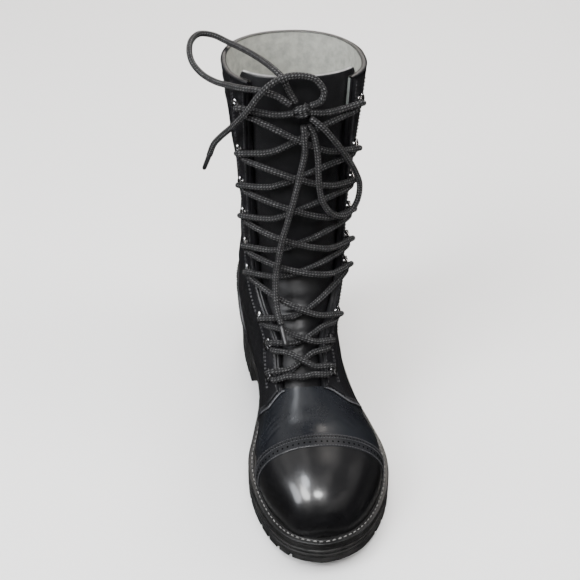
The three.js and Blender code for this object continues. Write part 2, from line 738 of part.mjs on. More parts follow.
function ringFrame(place, side) {
  const angle = edgeAngle(place, side, RIVET_FROM_EDGE);
  const normal = normalAt(place, angle);
  const inward = surface(place, angle - side * STEP_ANGLE).sub(surface(place, angle)).normalize();
  const across = inward.clone().cross(normal);
  return new THREE.Matrix4()
    .makeBasis(across, inward, normal)
    .setPosition(offsetPoint(place, angle, RING_SEAT));
}

// The lace turns just inside the tip of each ring
const RING_TIP = RIVET_DIAMETER / 2 - WIRE + RING_LENGTH * Math.cos(RING_TILT);
const TURN_FROM_RIVET = RING_TIP + WIRE + LACE / 2 + 2 * GAP;
const TURN_LIFT = RING_SEAT + WIRE / 2 + RING_LENGTH * Math.sin(RING_TILT);

function turn(index, side) {
  const u = RING_PLACES[index];
  return { u, angle: edgeAngle(u, side, RIVET_FROM_EDGE - TURN_FROM_RIVET), lift: TURN_LIFT };
}

function strand(from, to, middleLift = LACE_MIDDLE_LIFT) {
  const points = steps(0, 1, STRAND_STEPS + 2).map((t) => {
    const end = (2 * t - 1) ** 2;
    return offsetPoint(
      from.u + (to.u - from.u) * t,
      from.angle + (to.angle - from.angle) * t,
      middleLift + (from.lift - middleLift) * end,
    );
  });
  return toManifold(tube(points, LACE, STRAND_SIDES, STRAND_STEPS));
}

const KNOT_LIFT = KNOT_ROUND - WALL + GAP;
const knotCentre = offsetPoint(KNOT_ROW, 0, KNOT_LIFT);

function topStrand(side) {
  const start = turn(TOP_RING, side);
  const from = offsetPoint(start.u, start.angle, start.lift);
  const end = knotCentre.clone();
  end.x += side * (KNOT_ROUND + GAP);
  const middle = from.clone().lerp(end, 0.5);
  middle.z -= LACE / 2;
  return toManifold(tube([from, middle, end], LACE, STRAND_SIDES, STRAND_STEPS));
}

function makeCrossings() {
  const strands = [strand(turn(0, -1), turn(0, 1)), topStrand(-1), topStrand(1)];
  for (let i = 0; i < TOP_RING; i += 1) {
    strands.push(strand(turn(i, -1), turn(i + 1, 1)));
    strands.push(strand(turn(i, 1), turn(i + 1, -1), LACE_MIDDLE_LIFT + LACE + GAP));
  }
  return union(strands);
}

// Routes of the loose lace from the knot, chosen by hand, in the frame of the sections
const LOOP_LEFT = [
  [-3.5, 22.5, 285.2], [-8, 24, 293.5], [-12, 27, 302], [-18.5, 37, 305.6], [-28, 66, 302], [-37, 90, 298],
  [-45, 112, 293.4], [-55, 119, 296], [-65, 116, 299], [-71.5, 106, 299], [-74, 95, 296], [-72.5, 84, 291],
  [-66.5, 73, 287], [-58.5, 62, 286], [-50, 49, 288.6], [-39, 34.5, 292.2], [-28.4, 27, 293.6],
  [-17, 21.5, 291.5], [-7.5, 20, 285.5],
];
const LOOP_RIGHT = [
  [6.4, 17.5, 275.5], [14, 14.5, 270], [25, 16.5, 255.2], [34.5, 22, 239], [41, 28, 225], [45.5, 32, 211],
  [44, 31, 198], [38, 26, 191.5], [30, 19.5, 192.5], [21, 14, 200], [14.6, 12, 212], [12, 11.5, 228],
  [11, 12.5, 248], [8.5, 15, 263], [4.6, 16.8, 271],
];
const END_FRONT = [
  [0.8, 13.2, 272.4], [1.4, 12.2, 265], [2, 12.8, 252], [-1.6, 12, 233], [-6, 10.6, 214], [-10.4, 9.6, 197],
  [-14.8, 9, 180.5], [-18, 7.6, 163], [-20.5, 5, 147], [-20.6, -5, 131], [-18.4, -17, 122],
];
const END_LEFT = [
  [7, 21.5, 283.2], [13.5, 19, 287.5], [15.6, 20, 294], [9.5, 22.5, 302.5], [-2, 22, 306],
  [-12.5, 20.5, 305.6], [-22, 18.6, 301.4], [-30, 19.6, 292.6], [-36.5, 22.8, 281.5], [-43.6, 29, 270],
  [-49.4, 37.6, 259.5], [-55, 45, 250.5], [-60.5, 51, 241], [-64, 55, 230],
];
const TIP_LENGTH = 16;
const TIP_THICKNESS = 4;
const LOOP_STEPS = 19;
const END_STEPS = 15;

function looseLace(route, count) {
  return toManifold(tube(route.map((p) => new THREE.Vector3(...p)), LACE, LACE_SIDES, count));
}

// The moulded tip past the end of a route, in line with the lace
function makeTip(route) {
  const path = new THREE.CatmullRomCurve3(route.map((p) => new THREE.Vector3(...p)));
  const along = path.getTangent(1);
  const from = path.getPoint(1).addScaledVector(along, GAP);
  const to = from.clone().addScaledVector(along, TIP_LENGTH);
  return toManifold(tube([from, to], TIP_THICKNESS, LACE_SIDES, 1));
}

function makeKnot() {
  const knot = new THREE.SphereGeometry(KNOT_ROUND, KNOT_SIDES, KNOT_SIDES / 2);
  knot.translate(knotCentre.x, knotCentre.y, knotCentre.z);
  return toManifold(knot);
}

// Materials
const blackGloss = { color: 0x0b0b0c, roughness: 0.12, metalness: 0 };
const blackLeather = { color: 0x111112, roughness: 0.35, metalness: 0 };
const blackRubber = { color: 0x0d0d0d, roughness: 0.6, metalness: 0 };
const blackMetal = { color: 0x161616, roughness: 0.25, metalness: 0.8 };
const greyBoard = { color: 0x8f8f88, roughness: 0.9, metalness: 0 };
const blackBraid = { color: 0x141416, roughness: 0.8, metalness: 0 };

const boot = new THREE.Group();

function addPiece(name, solid, finish) {
  const mesh = new THREE.Mesh(toGeometry(solid), new THREE.MeshStandardMaterial(finish));
  mesh.name = name;
  boot.add(mesh);
}

addPiece('outsole', makeOutsole(), blackRubber);
addPiece('heel', makeHeel(), blackRubber);
addPiece('midsole', makeMidsole(), blackRubber);
addPiece('welt', makeWelt(), blackLeather);
addPiece('insole', makeInsole(), greyBoard);
addPiece('upper', makeUpper(), blackLeather);
addPiece('toe_cap', makeToeCap(), blackGloss);
addPiece('eyestay_medial', makeEyestay(-1), blackLeather);
addPiece('eyestay_lateral', makeEyestay(1), blackLeather);
addPiece('counter', makeCounter(), blackLeather);
addPiece('backstay', makeBackstay(), blackLeather);
addPiece('tongue', makeTongue(), blackLeather);

[-1, 1].forEach((side) => {
  RING_PLACES.forEach((place, index) => {
    const ring = new THREE.Mesh(ringGeometry, new THREE.MeshStandardMaterial(blackMetal));
    ring.name = `lace_ring_${side < 0 ? 'medial' : 'lateral'}_${index + 1}`;
    ring.applyMatrix4(ringFrame(place, side));
    boot.add(ring);
  });
});

addPiece('lace_crossings', makeCrossings(), blackBraid);
addPiece('lace_knot', makeKnot(), blackBraid);

// The origin's line runs through the middle of the boot without its loose lace
const extent = new THREE.Box3().setFromObject(boot).getCenter(new THREE.Vector3());
boot.position.set(-extent.x, -extent.y, 0);

addPiece('lace_loop_left', looseLace(LOOP_LEFT, LOOP_STEPS), blackBraid);
addPiece('lace_loop_right', looseLace(LOOP_RIGHT, LOOP_STEPS), blackBraid);
addPiece('lace_end_front', looseLace(END_FRONT, END_STEPS), blackBraid);
addPiece('lace_end_left', looseLace(END_LEFT, END_STEPS), blackBraid);
addPiece('lace_tip_front', makeTip(END_FRONT), blackRubber);
addPiece('lace_tip_left', makeTip(END_LEFT), blackRubber);

export default boot;
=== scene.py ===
# Combat boot for the left foot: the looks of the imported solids, in metres and in their frame.
import math

import bpy
import numpy as np
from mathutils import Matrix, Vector


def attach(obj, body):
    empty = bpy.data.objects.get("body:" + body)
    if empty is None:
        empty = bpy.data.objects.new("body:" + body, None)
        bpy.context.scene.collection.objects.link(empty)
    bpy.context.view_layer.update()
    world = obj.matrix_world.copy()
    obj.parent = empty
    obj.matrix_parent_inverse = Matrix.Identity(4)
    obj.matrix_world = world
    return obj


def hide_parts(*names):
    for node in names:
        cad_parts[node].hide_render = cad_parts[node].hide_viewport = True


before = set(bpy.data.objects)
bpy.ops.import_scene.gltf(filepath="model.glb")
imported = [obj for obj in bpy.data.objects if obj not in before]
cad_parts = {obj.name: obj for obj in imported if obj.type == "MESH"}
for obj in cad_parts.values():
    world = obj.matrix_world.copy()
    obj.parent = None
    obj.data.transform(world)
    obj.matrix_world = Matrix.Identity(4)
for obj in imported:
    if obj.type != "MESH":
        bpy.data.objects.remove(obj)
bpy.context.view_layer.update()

# Sizes, in millimetres
SHIFT = np.array([-3.754, 0.054, 0.0])
SOLE_LENGTH = 306.0
BALL_WIDTH = 110.0
INSTEP_HEIGHT = 78.0
SHAFT_HEIGHT = 197.0
COLLAR_DIP = 10.0
TOE_SPRING = 12.0
HEEL_RISE = 20.0
GAP = 0.3
LUG_HEIGHT = 5.5
MIDSOLE_BOTTOM = 12.8
MIDSOLE_TOP = 16.4
WELT_BOTTOM = 16.7
WELT_TOP = 20.0
UPPER_BOTTOM = 20.3
WALL = 2.4
QUARTER_STEP = 1.4
OVERLAY = 1.6
TUCK = 8.0
THROAT_LOW = 16.0
THROAT_HIGH = 36.0
EYESTAY_WIDTH = 16.0
EYESTAY_INSET = 1.0
TONGUE_REACH = 11.0
BACKSTAY_WIDTH = 24.0
COUNTER_HEIGHT = 70.0
WIRE = 1.9
RING_WIDTH = 9.0
RING_LENGTH = 8.0
RING_TILT = 0.6
RIVET_FROM_EDGE = 9.0
LACE = 4.6
KNOT_ROUND = 7.0
KNOT_ROW = 21.4
THROAT_STRAIGHT, THROAT_SWELL, THROAT_TAPER = 3.4, 4.2, 0.8
QUARTER_SWEEP, QUARTER_CORNER = 0.75, 0.5
TOE = -SOLE_LENGTH / 2
HEEL = SOLE_LENGTH / 2
SPRING_START = -0.33 * SOLE_LENGTH
SHANK_START = -0.13 * SOLE_LENGTH
HEEL_BREAST = 0.2 * SOLE_LENGTH
TREAD_END = -0.06 * SOLE_LENGTH
# Rows of the section table at the cap's rear edge, the foot of the throat and the collar
CAP_ROW, THROAT_ROW, COLLAR_ROW = 6, 9, 22

# The sole's outline from toe to heel: place along the length, then the outer and the inner side as
# shares of the ball's width
OUTLINE = [
    (-.500, -.012, -.012), (-.490, .100, -.115), (-.467, .210, -.212), (-.435, .298, -.282),
    (-.395, .375, -.338), (-.350, .442, -.382), (-.295, .500, -.422), (-.230, .535, -.445),
    (-.160, .532, -.436), (-.080, .484, -.382), (.015, .400, -.318), (.115, .352, -.306),
    (.210, .350, -.345), (.310, .360, -.372), (.390, .352, -.366), (.450, .298, -.312),
    (.485, .192, -.204), (.500, -.006, -.006),
]

# The upper's sections from the toe up to the collar, as shares of the driving sizes
KEYS = ("frontY", "frontZ", "backY", "backZ", "crest", "base", "lateral", "medial", "widest", "front", "back")
SECTIONS = np.array([
    (-.462, .30, -.462, 0, -.012, -.012, .085, .085, .50, 2.0, 2.4),
    (-.451, .39, -.452, 0, -.012, -.006, .155, .152, .58, 2.1, 3.2),
    (-.432, .47, -.432, 0, -.012, -.002, .218, .203, .62, 2.2, 3.8),
    (-.405, .535, -.402, 0, -.014, .003, .282, .250, .65, 2.2, 4.2),
    (-.368, .59, -.360, 0, -.016, .006, .352, .305, .67, 2.2, 4.5),
    (-.324, .625, -.310, 0, -.020, .006, .420, .352, .68, 2.15, 4.5),
    (-.278, .66, -.245, 0, -.026, .005, .465, .382, .68, 2.1, 4.5),
    (-.235, .70, -.163, 0, -.034, .003, .475, .378, .68, 2.05, 4.5),
    (-.196, .76, -.072, 0, -.044, 0, .430, .335, .68, 2.0, 4.2),
    (-.160, .82, .033, 0, -.048, 0, .360, .290, .66, 2.0, 4.0),
    (-.130, .88, .137, 0, -.048, 0, .322, .288, .64, 2.0, 3.6),
    (-.105, .94, .245, 0, -.045, 0, .320, .315, .62, 2.0, 3.3),
    (-.082, 1.00, .378, 0, -.040, 0, .325, .340, .60, 2.0, 3.0),
    (-.059, 1.03, .474, 0, -.030, 0, .335, .360, .58, 2.0, 2.8),
    (-.033, 1.065, .487, .09, -.020, 0, .345, .374, .57, 2.0, 2.7),
    (-.003, 1.11, .488, .157, -.010, 0, .350, .382, .56, 2.1, 2.6),
    (.029, 1.18, .480, .243, 0, 0, .352, .378, .54, 2.2, 2.4),
    (.052, 1.27, .466, .348, 0, 0, .350, .366, .52, 2.3, 2.3),
    (.067, 1.39, .456, .461, 0, 0, .352, .358, .50, 2.4, 2.2),
    (.075, 1.54, .454, .578, 0, 0, .368, .366, .50, 2.4, 2.2),
    (.083, 1.69, .459, .704, 0, 0, .400, .392, .48, 2.4, 2.2),
    (.088, 1.85, .467, .852, .005, 0, .440, .430, .47, 2.4, 2.2),
    (.092, 2.00, .477, 1.00, .010, 0, .475, .462, .46, 2.4, 2.2),
    (.095, 2.12, .484, 1.09, .010, 0, .495, .482, .45, 2.4, 2.2),
])


def smooth(x):
    x = np.clip(x, 0, 1)
    return x * x * (3 - 2 * x)


def rise(y):
    """How far the sole's underside is over the floor's plane: toe spring and heel."""
    spring = np.maximum(0, (SPRING_START - y) / (SPRING_START - TOE))
    return TOE_SPRING * spring ** 1.7 + HEEL_RISE * smooth((y - SHANK_START) / (HEEL_BREAST - SHANK_START))


def front_height(share):
    return UPPER_BOTTOM + np.minimum(share, 1) * INSTEP_HEIGHT + np.maximum(share - 1, 0) * SHAFT_HEIGHT


def make_rows():
    raw = dict(zip(KEYS, SECTIONS.T))
    rows = {k: raw[k] * SOLE_LENGTH for k in ("frontY", "backY")}
    rows.update({k: raw[k] * BALL_WIDTH for k in ("crest", "base", "lateral", "medial")})
    rows.update({k: raw[k] for k in ("widest", "front", "back")})
    rows["frontZ"] = front_height(raw["frontZ"])
    low = rise(rows["backY"]) + UPPER_BOTTOM - TUCK
    rows["backZ"] = low + raw["backZ"] * (front_height(2) - COLLAR_DIP - low)
    return rows


ROWS = make_rows()


def row_value(key, u):
    """A value of the section table at any row, on a smooth curve through the rows."""
    table = ROWS[key]
    last = len(table) - 1
    i = np.clip(np.floor(u).astype(int), 0, last - 1)
    t = u - i
    b, c = table[i], table[i + 1]
    a = np.where(i > 0, table[np.maximum(i - 1, 0)], 2 * b - c)
    d = np.where(i < last - 1, table[np.minimum(i + 2, last)], 2 * c - b)
    return b + 0.5 * t * ((c - a) + t * ((2 * a - 5 * b + 4 * c - d) + t * (3 * (b - c) + d - a)))


def surface(u, angle):
    """Places on the upper at a row and an angle from the front ridge, positive to the outer side."""
    u, angle = np.broadcast_arrays(np.asarray(u, float), np.asarray(angle, float))
    cos, sin = np.cos(angle), np.sin(angle)
    power = np.where(cos > 0, row_value("front", u), row_value("back", u))
    reach = (np.abs(sin) ** power + np.abs(cos) ** power) ** (-1 / power)
    widest = row_value("widest", u)
    down = widest - reach * cos * np.where(cos > 0, widest, 1 - widest)
    half = np.where(sin > 0, row_value("lateral", u), row_value("medial", u))
    crest, base = row_value("crest", u), row_value("base", u)
    front_y, front_z = row_value("frontY", u), row_value("frontZ", u)
    return np.stack([
        crest + down * (base - crest) + reach * sin * half,
        front_y + down * (row_value("backY", u) - front_y),
        front_z + down * (row_value("backZ", u) - front_z),
    ], -1)


def normal_at(u, angle):
    u, angle = np.broadcast_arrays(np.asarray(u, float), np.asarray(angle, float))
    low = np.maximum(0, u - 0.02)
    along = surface(low + 0.04, angle) - surface(low, angle)
    around = surface(u, angle + 0.01) - surface(u, angle - 0.01)
    n = -np.cross(along, around)
    return n / np.maximum(np.linalg.norm(n, axis=-1, keepdims=True), 1e-9)


def offset_point(u, angle, lift):
    return surface(u, angle) + normal_at(u, angle) * np.asarray(lift, float)[..., None]


def angle_from_ridge(u, distance):
    """The angle of the place at a sideways distance from the ridge."""
    u, distance = np.broadcast_arrays(np.asarray(u, float), np.asarray(distance, float))
    half = np.where(distance > 0, row_value("lateral", u), row_value("medial", u))
    power = row_value("front", u)
    share = np.minimum(0.999, np.abs(distance) / half)
    return np.sign(distance) * np.arctan2(share, (1 - share ** power) ** (1 / power))


def angle_after(u, angle, length):
    """The angle of the place a given length around the surface from another angle."""
    u, angle, length = np.broadcast_arrays(*(np.asarray(v, float) for v in (u, angle, length)))
    steps = 48
    reach = np.where(length < 0, -1, 1) * math.pi / 2
    share = np.linspace(0, 1, steps + 1)
    line = surface(u[..., None], angle[..., None] + reach[..., None] * share)
    step = np.linalg.norm(np.diff(line, axis=-2), axis=-1)
    run = np.concatenate([np.zeros(u.shape + (1,)), np.cumsum(step, -1)], -1)
    flat_run, flat_len = run.reshape(-1, steps + 1), np.abs(length).ravel()
    found = np.array([np.interp(l, r, share) for l, r in zip(flat_len, flat_run)])
    return angle + reach * found.reshape(u.shape)


def throat_half(u):
    """Half the width of the throat, straight at its foot and wider up the shaft."""
    share = smooth((u - THROAT_ROW - THROAT_STRAIGHT) / THROAT_SWELL)
    high = THROAT_HIGH - (COLLAR_ROW - u) * THROAT_TAPER
    return THROAT_LOW + (high - THROAT_LOW) * share


def edge_angle(u, side, length):
    """The angle at a length behind the throat's edge."""
    return angle_after(u, angle_from_ridge(u, side * throat_half(u)), side * length)


THROAT_ANGLE = float(angle_from_ridge(THROAT_ROW, THROAT_LOW))


def quarter_front(angle):
    """The row of the quarter's front edge, which sweeps forward beside the throat."""
    return THROAT_ROW - QUARTER_SWEEP * smooth((np.abs(angle) - THROAT_ANGLE) / QUARTER_CORNER)


def centripetal(points, closed=False, per=24):
    """A smooth curve through the points, as dense places."""
    p = np.asarray(points, float)
    n = len(p)
    out = []
    for i in range(n if closed else n - 1):
        if closed:
            a, b, c, d = p[(i - 1) % n], p[i], p[(i + 1) % n], p[(i + 2) % n]
        else:
            b, c = p[i], p[i + 1]
            a = p[i - 1] if i > 0 else 2 * b - c
            d = p[i + 2] if i + 2 < n else 2 * c - b
        k0, k1, k2 = (max(np.linalg.norm(v) ** 0.5, 1e-4) for v in (b - a, c - b, d - c))
        t1 = ((b - a) / k0 - (c - a) / (k0 + k1) + (c - b) / k1) * k1
        t2 = ((c - b) / k1 - (d - b) / (k1 + k2) + (d - c) / k2) * k1
        t = np.linspace(0, 1, per, endpoint=False)[:, None]
        out.append(b + t * t1 + t * t * (3 * (c - b) - 2 * t1 - t2) + t ** 3 * (2 * (b - c) + t1 + t2))
    if not closed:
        out.append(p[-1:])
    return np.concatenate(out)


def running(line):
    """The length run at each place of a line."""
    return np.concatenate([[0], np.cumsum(np.linalg.norm(np.diff(line, axis=0), axis=1))])


def resample(line, count, closed=False):
    """Evenly spaced places on a line, and its length."""
    if closed:
        line = np.vstack([line, line[:1]])
    run = running(line)
    at = np.linspace(0, run[-1], count, endpoint=not closed)
    return np.stack([np.interp(at, run, line[:, k]) for k in range(line.shape[1])], 1), run[-1]


def sole_outline(count):
    outer = [(lateral * BALL_WIDTH, y * SOLE_LENGTH) for y, lateral, medial in OUTLINE]
    inner = [(medial * BALL_WIDTH, y * SOLE_LENGTH) for y, lateral, medial in OUTLINE[-2:0:-1]]
    ring = outer + inner
    return resample(centripetal(ring, closed=True, per=30), count, closed=True)


def outward_at(line):
    """Flat directions out of a closed outline."""
    ahead = np.roll(line, -2, 0) - np.roll(line, 2, 0)
    ahead /= np.linalg.norm(ahead, axis=1, keepdims=True)
    return np.stack([ahead[:, 1], -ahead[:, 0]], 1)


def inset(line, distance):
    return line - outward_at(line) * distance


# Materials


class Nodes:
    """Short names for the nodes of one material."""

    def __init__(self, name):
        self.mat = bpy.data.materials.new(name)
        self.mat.use_nodes = True
        self.tree = self.mat.node_tree
        self.shader = self.tree.nodes["Principled BSDF"]
        self.coord = self.tree.nodes.new("ShaderNodeTexCoord")

    def add(self, kind, **values):
        node = self.tree.nodes.new(kind)
        for key, value in values.items():
            setattr(node, key, value)
        return node

    def link(self, a, b):
        self.tree.links.new(a, b)

    def put(self, socket, value):
        if isinstance(value, (int, float)):
            socket.default_value = value
        else:
            self.link(value, socket)

    def math(self, operation, a, b=0.0):
        node = self.add("ShaderNodeMath", operation=operation)
        self.put(node.inputs[0], a)
        self.put(node.inputs[1], b)
        return node.outputs[0]

    def noise(self, scale, detail=3.0, rough=0.55, stretch=None):
        node = self.add("ShaderNodeTexNoise")
        node.inputs["Scale"].default_value = scale
        node.inputs["Detail"].default_value = detail
        node.inputs["Roughness"].default_value = rough
        source = self.coord.outputs["Object"]
        if stretch:
            mapping = self.add("ShaderNodeMapping")
            mapping.inputs["Scale"].default_value = stretch
            self.link(source, mapping.inputs["Vector"])
            source = mapping.outputs[0]
        self.link(source, node.inputs["Vector"])
        return node.outputs["Fac"]

    def cell_edges(self, scale):
        node = self.add("ShaderNodeTexVoronoi", feature="DISTANCE_TO_EDGE")
        node.inputs["Scale"].default_value = scale
        self.link(self.coord.outputs["Object"], node.inputs["Vector"])
        return node.outputs["Distance"]

    def ramp(self, fac, low, high, a, b):
        """fac between low and high, brought to the range from a to b."""
        node = self.add("ShaderNodeMapRange")
        for key, value in (("From Min", low), ("From Max", high), ("To Min", a), ("To Max", b)):
            node.inputs[key].default_value = value
        self.link(fac, node.inputs["Value"])
        return node.outputs["Result"]

    def blend(self, fac, a, b):
        node = self.add("ShaderNodeMix", data_type="RGBA")
        self.put(node.inputs["Factor"], fac)
        for socket, value in ((node.inputs[6], a), (node.inputs[7], b)):
            if isinstance(value, tuple):
                socket.default_value = (*value, 1)
            else:
                self.link(value, socket)
        return node.outputs[2]

    def bump(self, height, distance, strength=1.0, before=None):
        node = self.add("ShaderNodeBump")
        node.inputs["Strength"].default_value = strength
        node.inputs["Distance"].default_value = distance
        self.link(height, node.inputs["Height"])
        if before:
            self.link(before, node.inputs["Normal"])
        return node.outputs["Normal"]

    def done(self, **values):
        """The material, with values or links on the shader's sockets."""
        for key, value in values.items():
            socket = self.shader.inputs[key]
            if isinstance(value, tuple):
                socket.default_value = (*value, 1)
            else:
                self.put(socket, value)
        return self.mat


def leather(name, dark, light, rough, grain=0.00012, wrinkle=0.0004, coat=0.25, coat_rough=0.2, spec=0.5):
    """Black leather: broad cloudy colour, fine pores and soft wrinkles."""
    n = Nodes(name)
    broad = n.noise(28, 4)
    fine = n.noise(420, 3)
    colour = n.blend(n.ramp(broad, 0.35, 0.7, 0, 1), dark, light)
    pores = n.cell_edges(1250)
    grain_height = n.math("ADD", n.ramp(pores, 0.0, 0.25, 0, 1), n.math("MULTIPLY", fine, 0.8))
    soft = n.bump(n.noise(55, 4, 0.6, stretch=(1, 1, 1.6)), wrinkle, 0.8)
    normal = n.bump(grain_height, grain, 0.6, soft)
    worn = n.ramp(n.noise(60, 3), 0.3, 0.75, rough * 0.9, rough * 1.15)
    roughness = n.math("ADD", worn, n.ramp(fine, 0.3, 0.7, 0, 0.03))
    return n.done(**{"Base Color": colour, "Roughness": roughness, "Normal": normal, "Coat Weight": coat,
                     "Coat Roughness": coat_rough, "Specular IOR Level": spec})


def plain_grain(name, dark, light, rough, scale, depth, spec=0.4, metallic=0.0, coat=0.0):
    """A plain stuff with fine spots in its colour and height."""
    n = Nodes(name)
    spots = n.noise(scale, 5, 0.65)
    colour = n.blend(n.ramp(n.noise(scale * 0.2, 3), 0.3, 0.7, 0, 1), dark, light)
    normal = n.bump(spots, depth, 0.7)
    return n.done(**{"Base Color": colour, "Roughness": n.ramp(spots, 0.3, 0.7, rough * 0.85, rough * 1.15),
                     "Normal": normal, "Specular IOR Level": spec, "Metallic": metallic, "Coat Weight": coat})


def braid(name):
    """Round braid: two crossing sets of yarns around the cord, from its own coordinates. One set is grey
    yarn. The colour is painted darker towards the grooves between the yarns and down the grey yarns' sides:
    painted shade.
    """
    n = Nodes(name)
    uv = n.add("ShaderNodeUVMap", uv_map="UVMap")
    split = n.add("ShaderNodeSeparateXYZ")
    n.link(uv.outputs[0], split.inputs[0])
    around = n.math("MULTIPLY", split.outputs[0], 7.0)
    along = n.math("MULTIPLY", split.outputs[1], 430.0)
    one, two = n.math("ADD", around, along), n.math("SUBTRACT", around, along)
    whole = n.math("ADD", n.math("ADD", n.math("FLOOR", one), n.math("FLOOR", two)), 4000.0)
    check = n.math("MODULO", whole, 2.0)

    def ridge(v):
        return n.math("SINE", n.math("MULTIPLY", n.math("FRACT", v), math.pi))

    over = n.math("MULTIPLY", ridge(one), check)
    under = n.math("MULTIPLY", ridge(two), n.math("SUBTRACT", 1.0, check))
    height = n.math("POWER", n.math("ADD", over, under), 0.7)
    fibre = n.noise(2600, 2)
    fleck = n.ramp(n.noise(300, 2), 0.35, 0.65, 0.25, 1)
    # The grey set of yarns is a real two-tone braid; fading it to black down its sides is painted shade
    bright = n.math("MULTIPLY", n.ramp(over, 0.35, 0.9, 0, 1), fleck)
    # Painted shade: the colour darkens where the braid's height is low, in the grooves between the yarns
    lit = n.blend(n.ramp(height, 0.2, 1.0, 0, 1), (0.002, 0.002, 0.002), (0.014, 0.014, 0.015))
    colour = n.blend(bright, lit, (0.10, 0.10, 0.102))
    normal = n.bump(n.math("ADD", height, n.math("MULTIPLY", fibre, 0.3)), 0.0006, 0.9)
    return n.done(**{"Base Color": colour, "Roughness": n.ramp(fibre, 0.3, 0.7, 0.55, 0.75), "Normal": normal,
                     "Specular IOR Level": 0.25})


def edge_rubber(name):
    """Dull rubber with a little dust."""
    n = Nodes(name)
    spots = n.noise(700, 4)
    dust = n.ramp(n.noise(45, 5), 0.45, 0.8, 0, 1)
    colour = n.blend(dust, (0.012, 0.012, 0.012), (0.032, 0.031, 0.030))
    return n.done(**{"Base Color": colour, "Roughness": n.ramp(spots, 0.3, 0.7, 0.45, 0.62),
                     "Normal": n.bump(spots, 0.0002, 0.6), "Specular IOR Level": 0.4})


VAMP = leather("vamp_leather", (0.006, 0.0068, 0.0088), (0.010, 0.0115, 0.0145), 0.27, grain=0.00002,
               wrinkle=0.00003, coat=0.35, coat_rough=0.2)
BAND_LEATHER = leather("band_leather", (0.006, 0.0066, 0.008), (0.012, 0.0125, 0.0145), 0.32, grain=0.00004,
                       wrinkle=0.00003, coat=0.25, coat_rough=0.25)
QUARTER = leather("quarter_leather", (0.005, 0.005, 0.006), (0.009, 0.009, 0.0105), 0.36, grain=0.00008,
                  wrinkle=0.0002, coat=0.12, coat_rough=0.3, spec=0.4)
TONGUE = leather("tongue_leather", (0.006, 0.006, 0.007), (0.011, 0.011, 0.012), 0.36, grain=0.0001,
                 wrinkle=0.0005, coat=0.12, coat_rough=0.25, spec=0.45)
GLOSS = leather("mirror_leather", (0.003, 0.003, 0.0035), (0.005, 0.005, 0.006), 0.3, grain=0.00001,
                wrinkle=0.00006, coat=1.0, coat_rough=0.15, spec=0.6)
# Light grey edge stuff: partly the raw edge's own grey, partly a painted highlight along the tongue's top
# edge
RAW_EDGE_AND_SHEEN = plain_grain("raw_edge_and_sheen", (0.16, 0.16, 0.16), (0.28, 0.275, 0.27), 0.8, 900, 0.0002)
LINING = plain_grain("lining", (0.27, 0.28, 0.255), (0.40, 0.40, 0.365), 0.8, 800, 0.0002, spec=0.2)
# A darker copy of the lining: painted shade where the lining shows at the throat's edge
LINING_SHADE = plain_grain("lining_painted_shade", (0.11, 0.125, 0.118), (0.17, 0.185, 0.175), 0.8, 800, 0.0002, spec=0.2)
BOARD = plain_grain("insole_board", (0.22, 0.20, 0.17), (0.32, 0.30, 0.26), 0.85, 300, 0.0003)
RUBBER = edge_rubber("sole_rubber")
WELT_LEATHER = leather("welt_leather", (0.007, 0.007, 0.007), (0.016, 0.016, 0.016), 0.42, coat=0.1)
BRAID = braid("round_braid")
TIP = plain_grain("lace_tip", (0.01, 0.01, 0.011), (0.02, 0.02, 0.021), 0.3, 300, 0.0001, spec=0.5)
ENAMEL = plain_grain("ring_enamel", (0.42, 0.42, 0.43), (0.55, 0.55, 0.56), 0.2, 500, 0.00005, spec=0.6,
                     metallic=1.0, coat=0.3)
THREAD = plain_grain("black_thread", (0.010, 0.010, 0.011), (0.03, 0.03, 0.033), 0.5, 2500, 0.0002)
PALE_THREAD = plain_grain("welt_thread", (0.07, 0.07, 0.07), (0.2, 0.195, 0.19), 0.6, 2500, 0.0002)
SEAM_THREAD = plain_grain("facing_thread", (0.03, 0.03, 0.033), (0.07, 0.07, 0.075), 0.5, 2500, 0.0002)
# Painted highlight: the light grey-blue line of light along the quarter's cut edge at the throat's corners
CORNER_EDGE_SHEEN = plain_grain("corner_edge_sheen", (0.05, 0.052, 0.058), (0.12, 0.122, 0.13), 0.4, 1500, 0.0001)
HOLE = plain_grain("hole_shade", (0.0005, 0.0005, 0.0005), (0.001, 0.001, 0.001), 0.9, 500, 0.0001, spec=0.0)

# Meshes


def make_mesh(name, points, faces, materials, slot, replaces=(), uvs=None, index=None):
    """One piece, from points in millimetres in the frame of the sections."""
    mesh = bpy.data.meshes.new(name)
    metres = (np.asarray(points) + SHIFT) / 1000
    mesh.from_pydata(metres.tolist(), [], [tuple(int(i) for i in f) for f in faces])
    mesh.validate()
    for material in materials if isinstance(materials, (list, tuple)) else [materials]:
        mesh.materials.append(material)
    if index is not None:
        mesh.polygons.foreach_set("material_index", np.asarray(index, dtype=np.int32))
    mesh.polygons.foreach_set("use_smooth", np.ones(len(mesh.polygons), dtype=bool))
    if uvs is not None:
        layer = mesh.uv_layers.new(name="UVMap")
        layer.data.foreach_set("uv", np.asarray(uvs, dtype=np.float32).ravel())
    mesh.update()
    obj = bpy.data.objects.new(name, mesh)
    bpy.context.scene.collection.objects.link(obj)
    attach(obj, "root")
    if replaces:
        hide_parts(*replaces)
    return obj


def merged(runs):
    """Several runs of points and faces as one."""
    points, faces = [], []
    for p, f in runs:
        faces += [tuple(i + len(points) for i in face) for face in f]
        points += list(p)
    return np.array(points), faces


def grid_faces(rows, cols, wrap=False):
    i, j = np.meshgrid(np.arange(rows - 1), np.arange(cols if wrap else cols - 1), indexing="ij")
    nxt = (j + 1) % cols
    a, b, c, d = i * cols + j, i * cols + nxt, (i + 1) * cols + nxt, (i + 1) * cols + j
    return np.stack([a, d, c, b], -1).reshape(-1, 4).tolist()


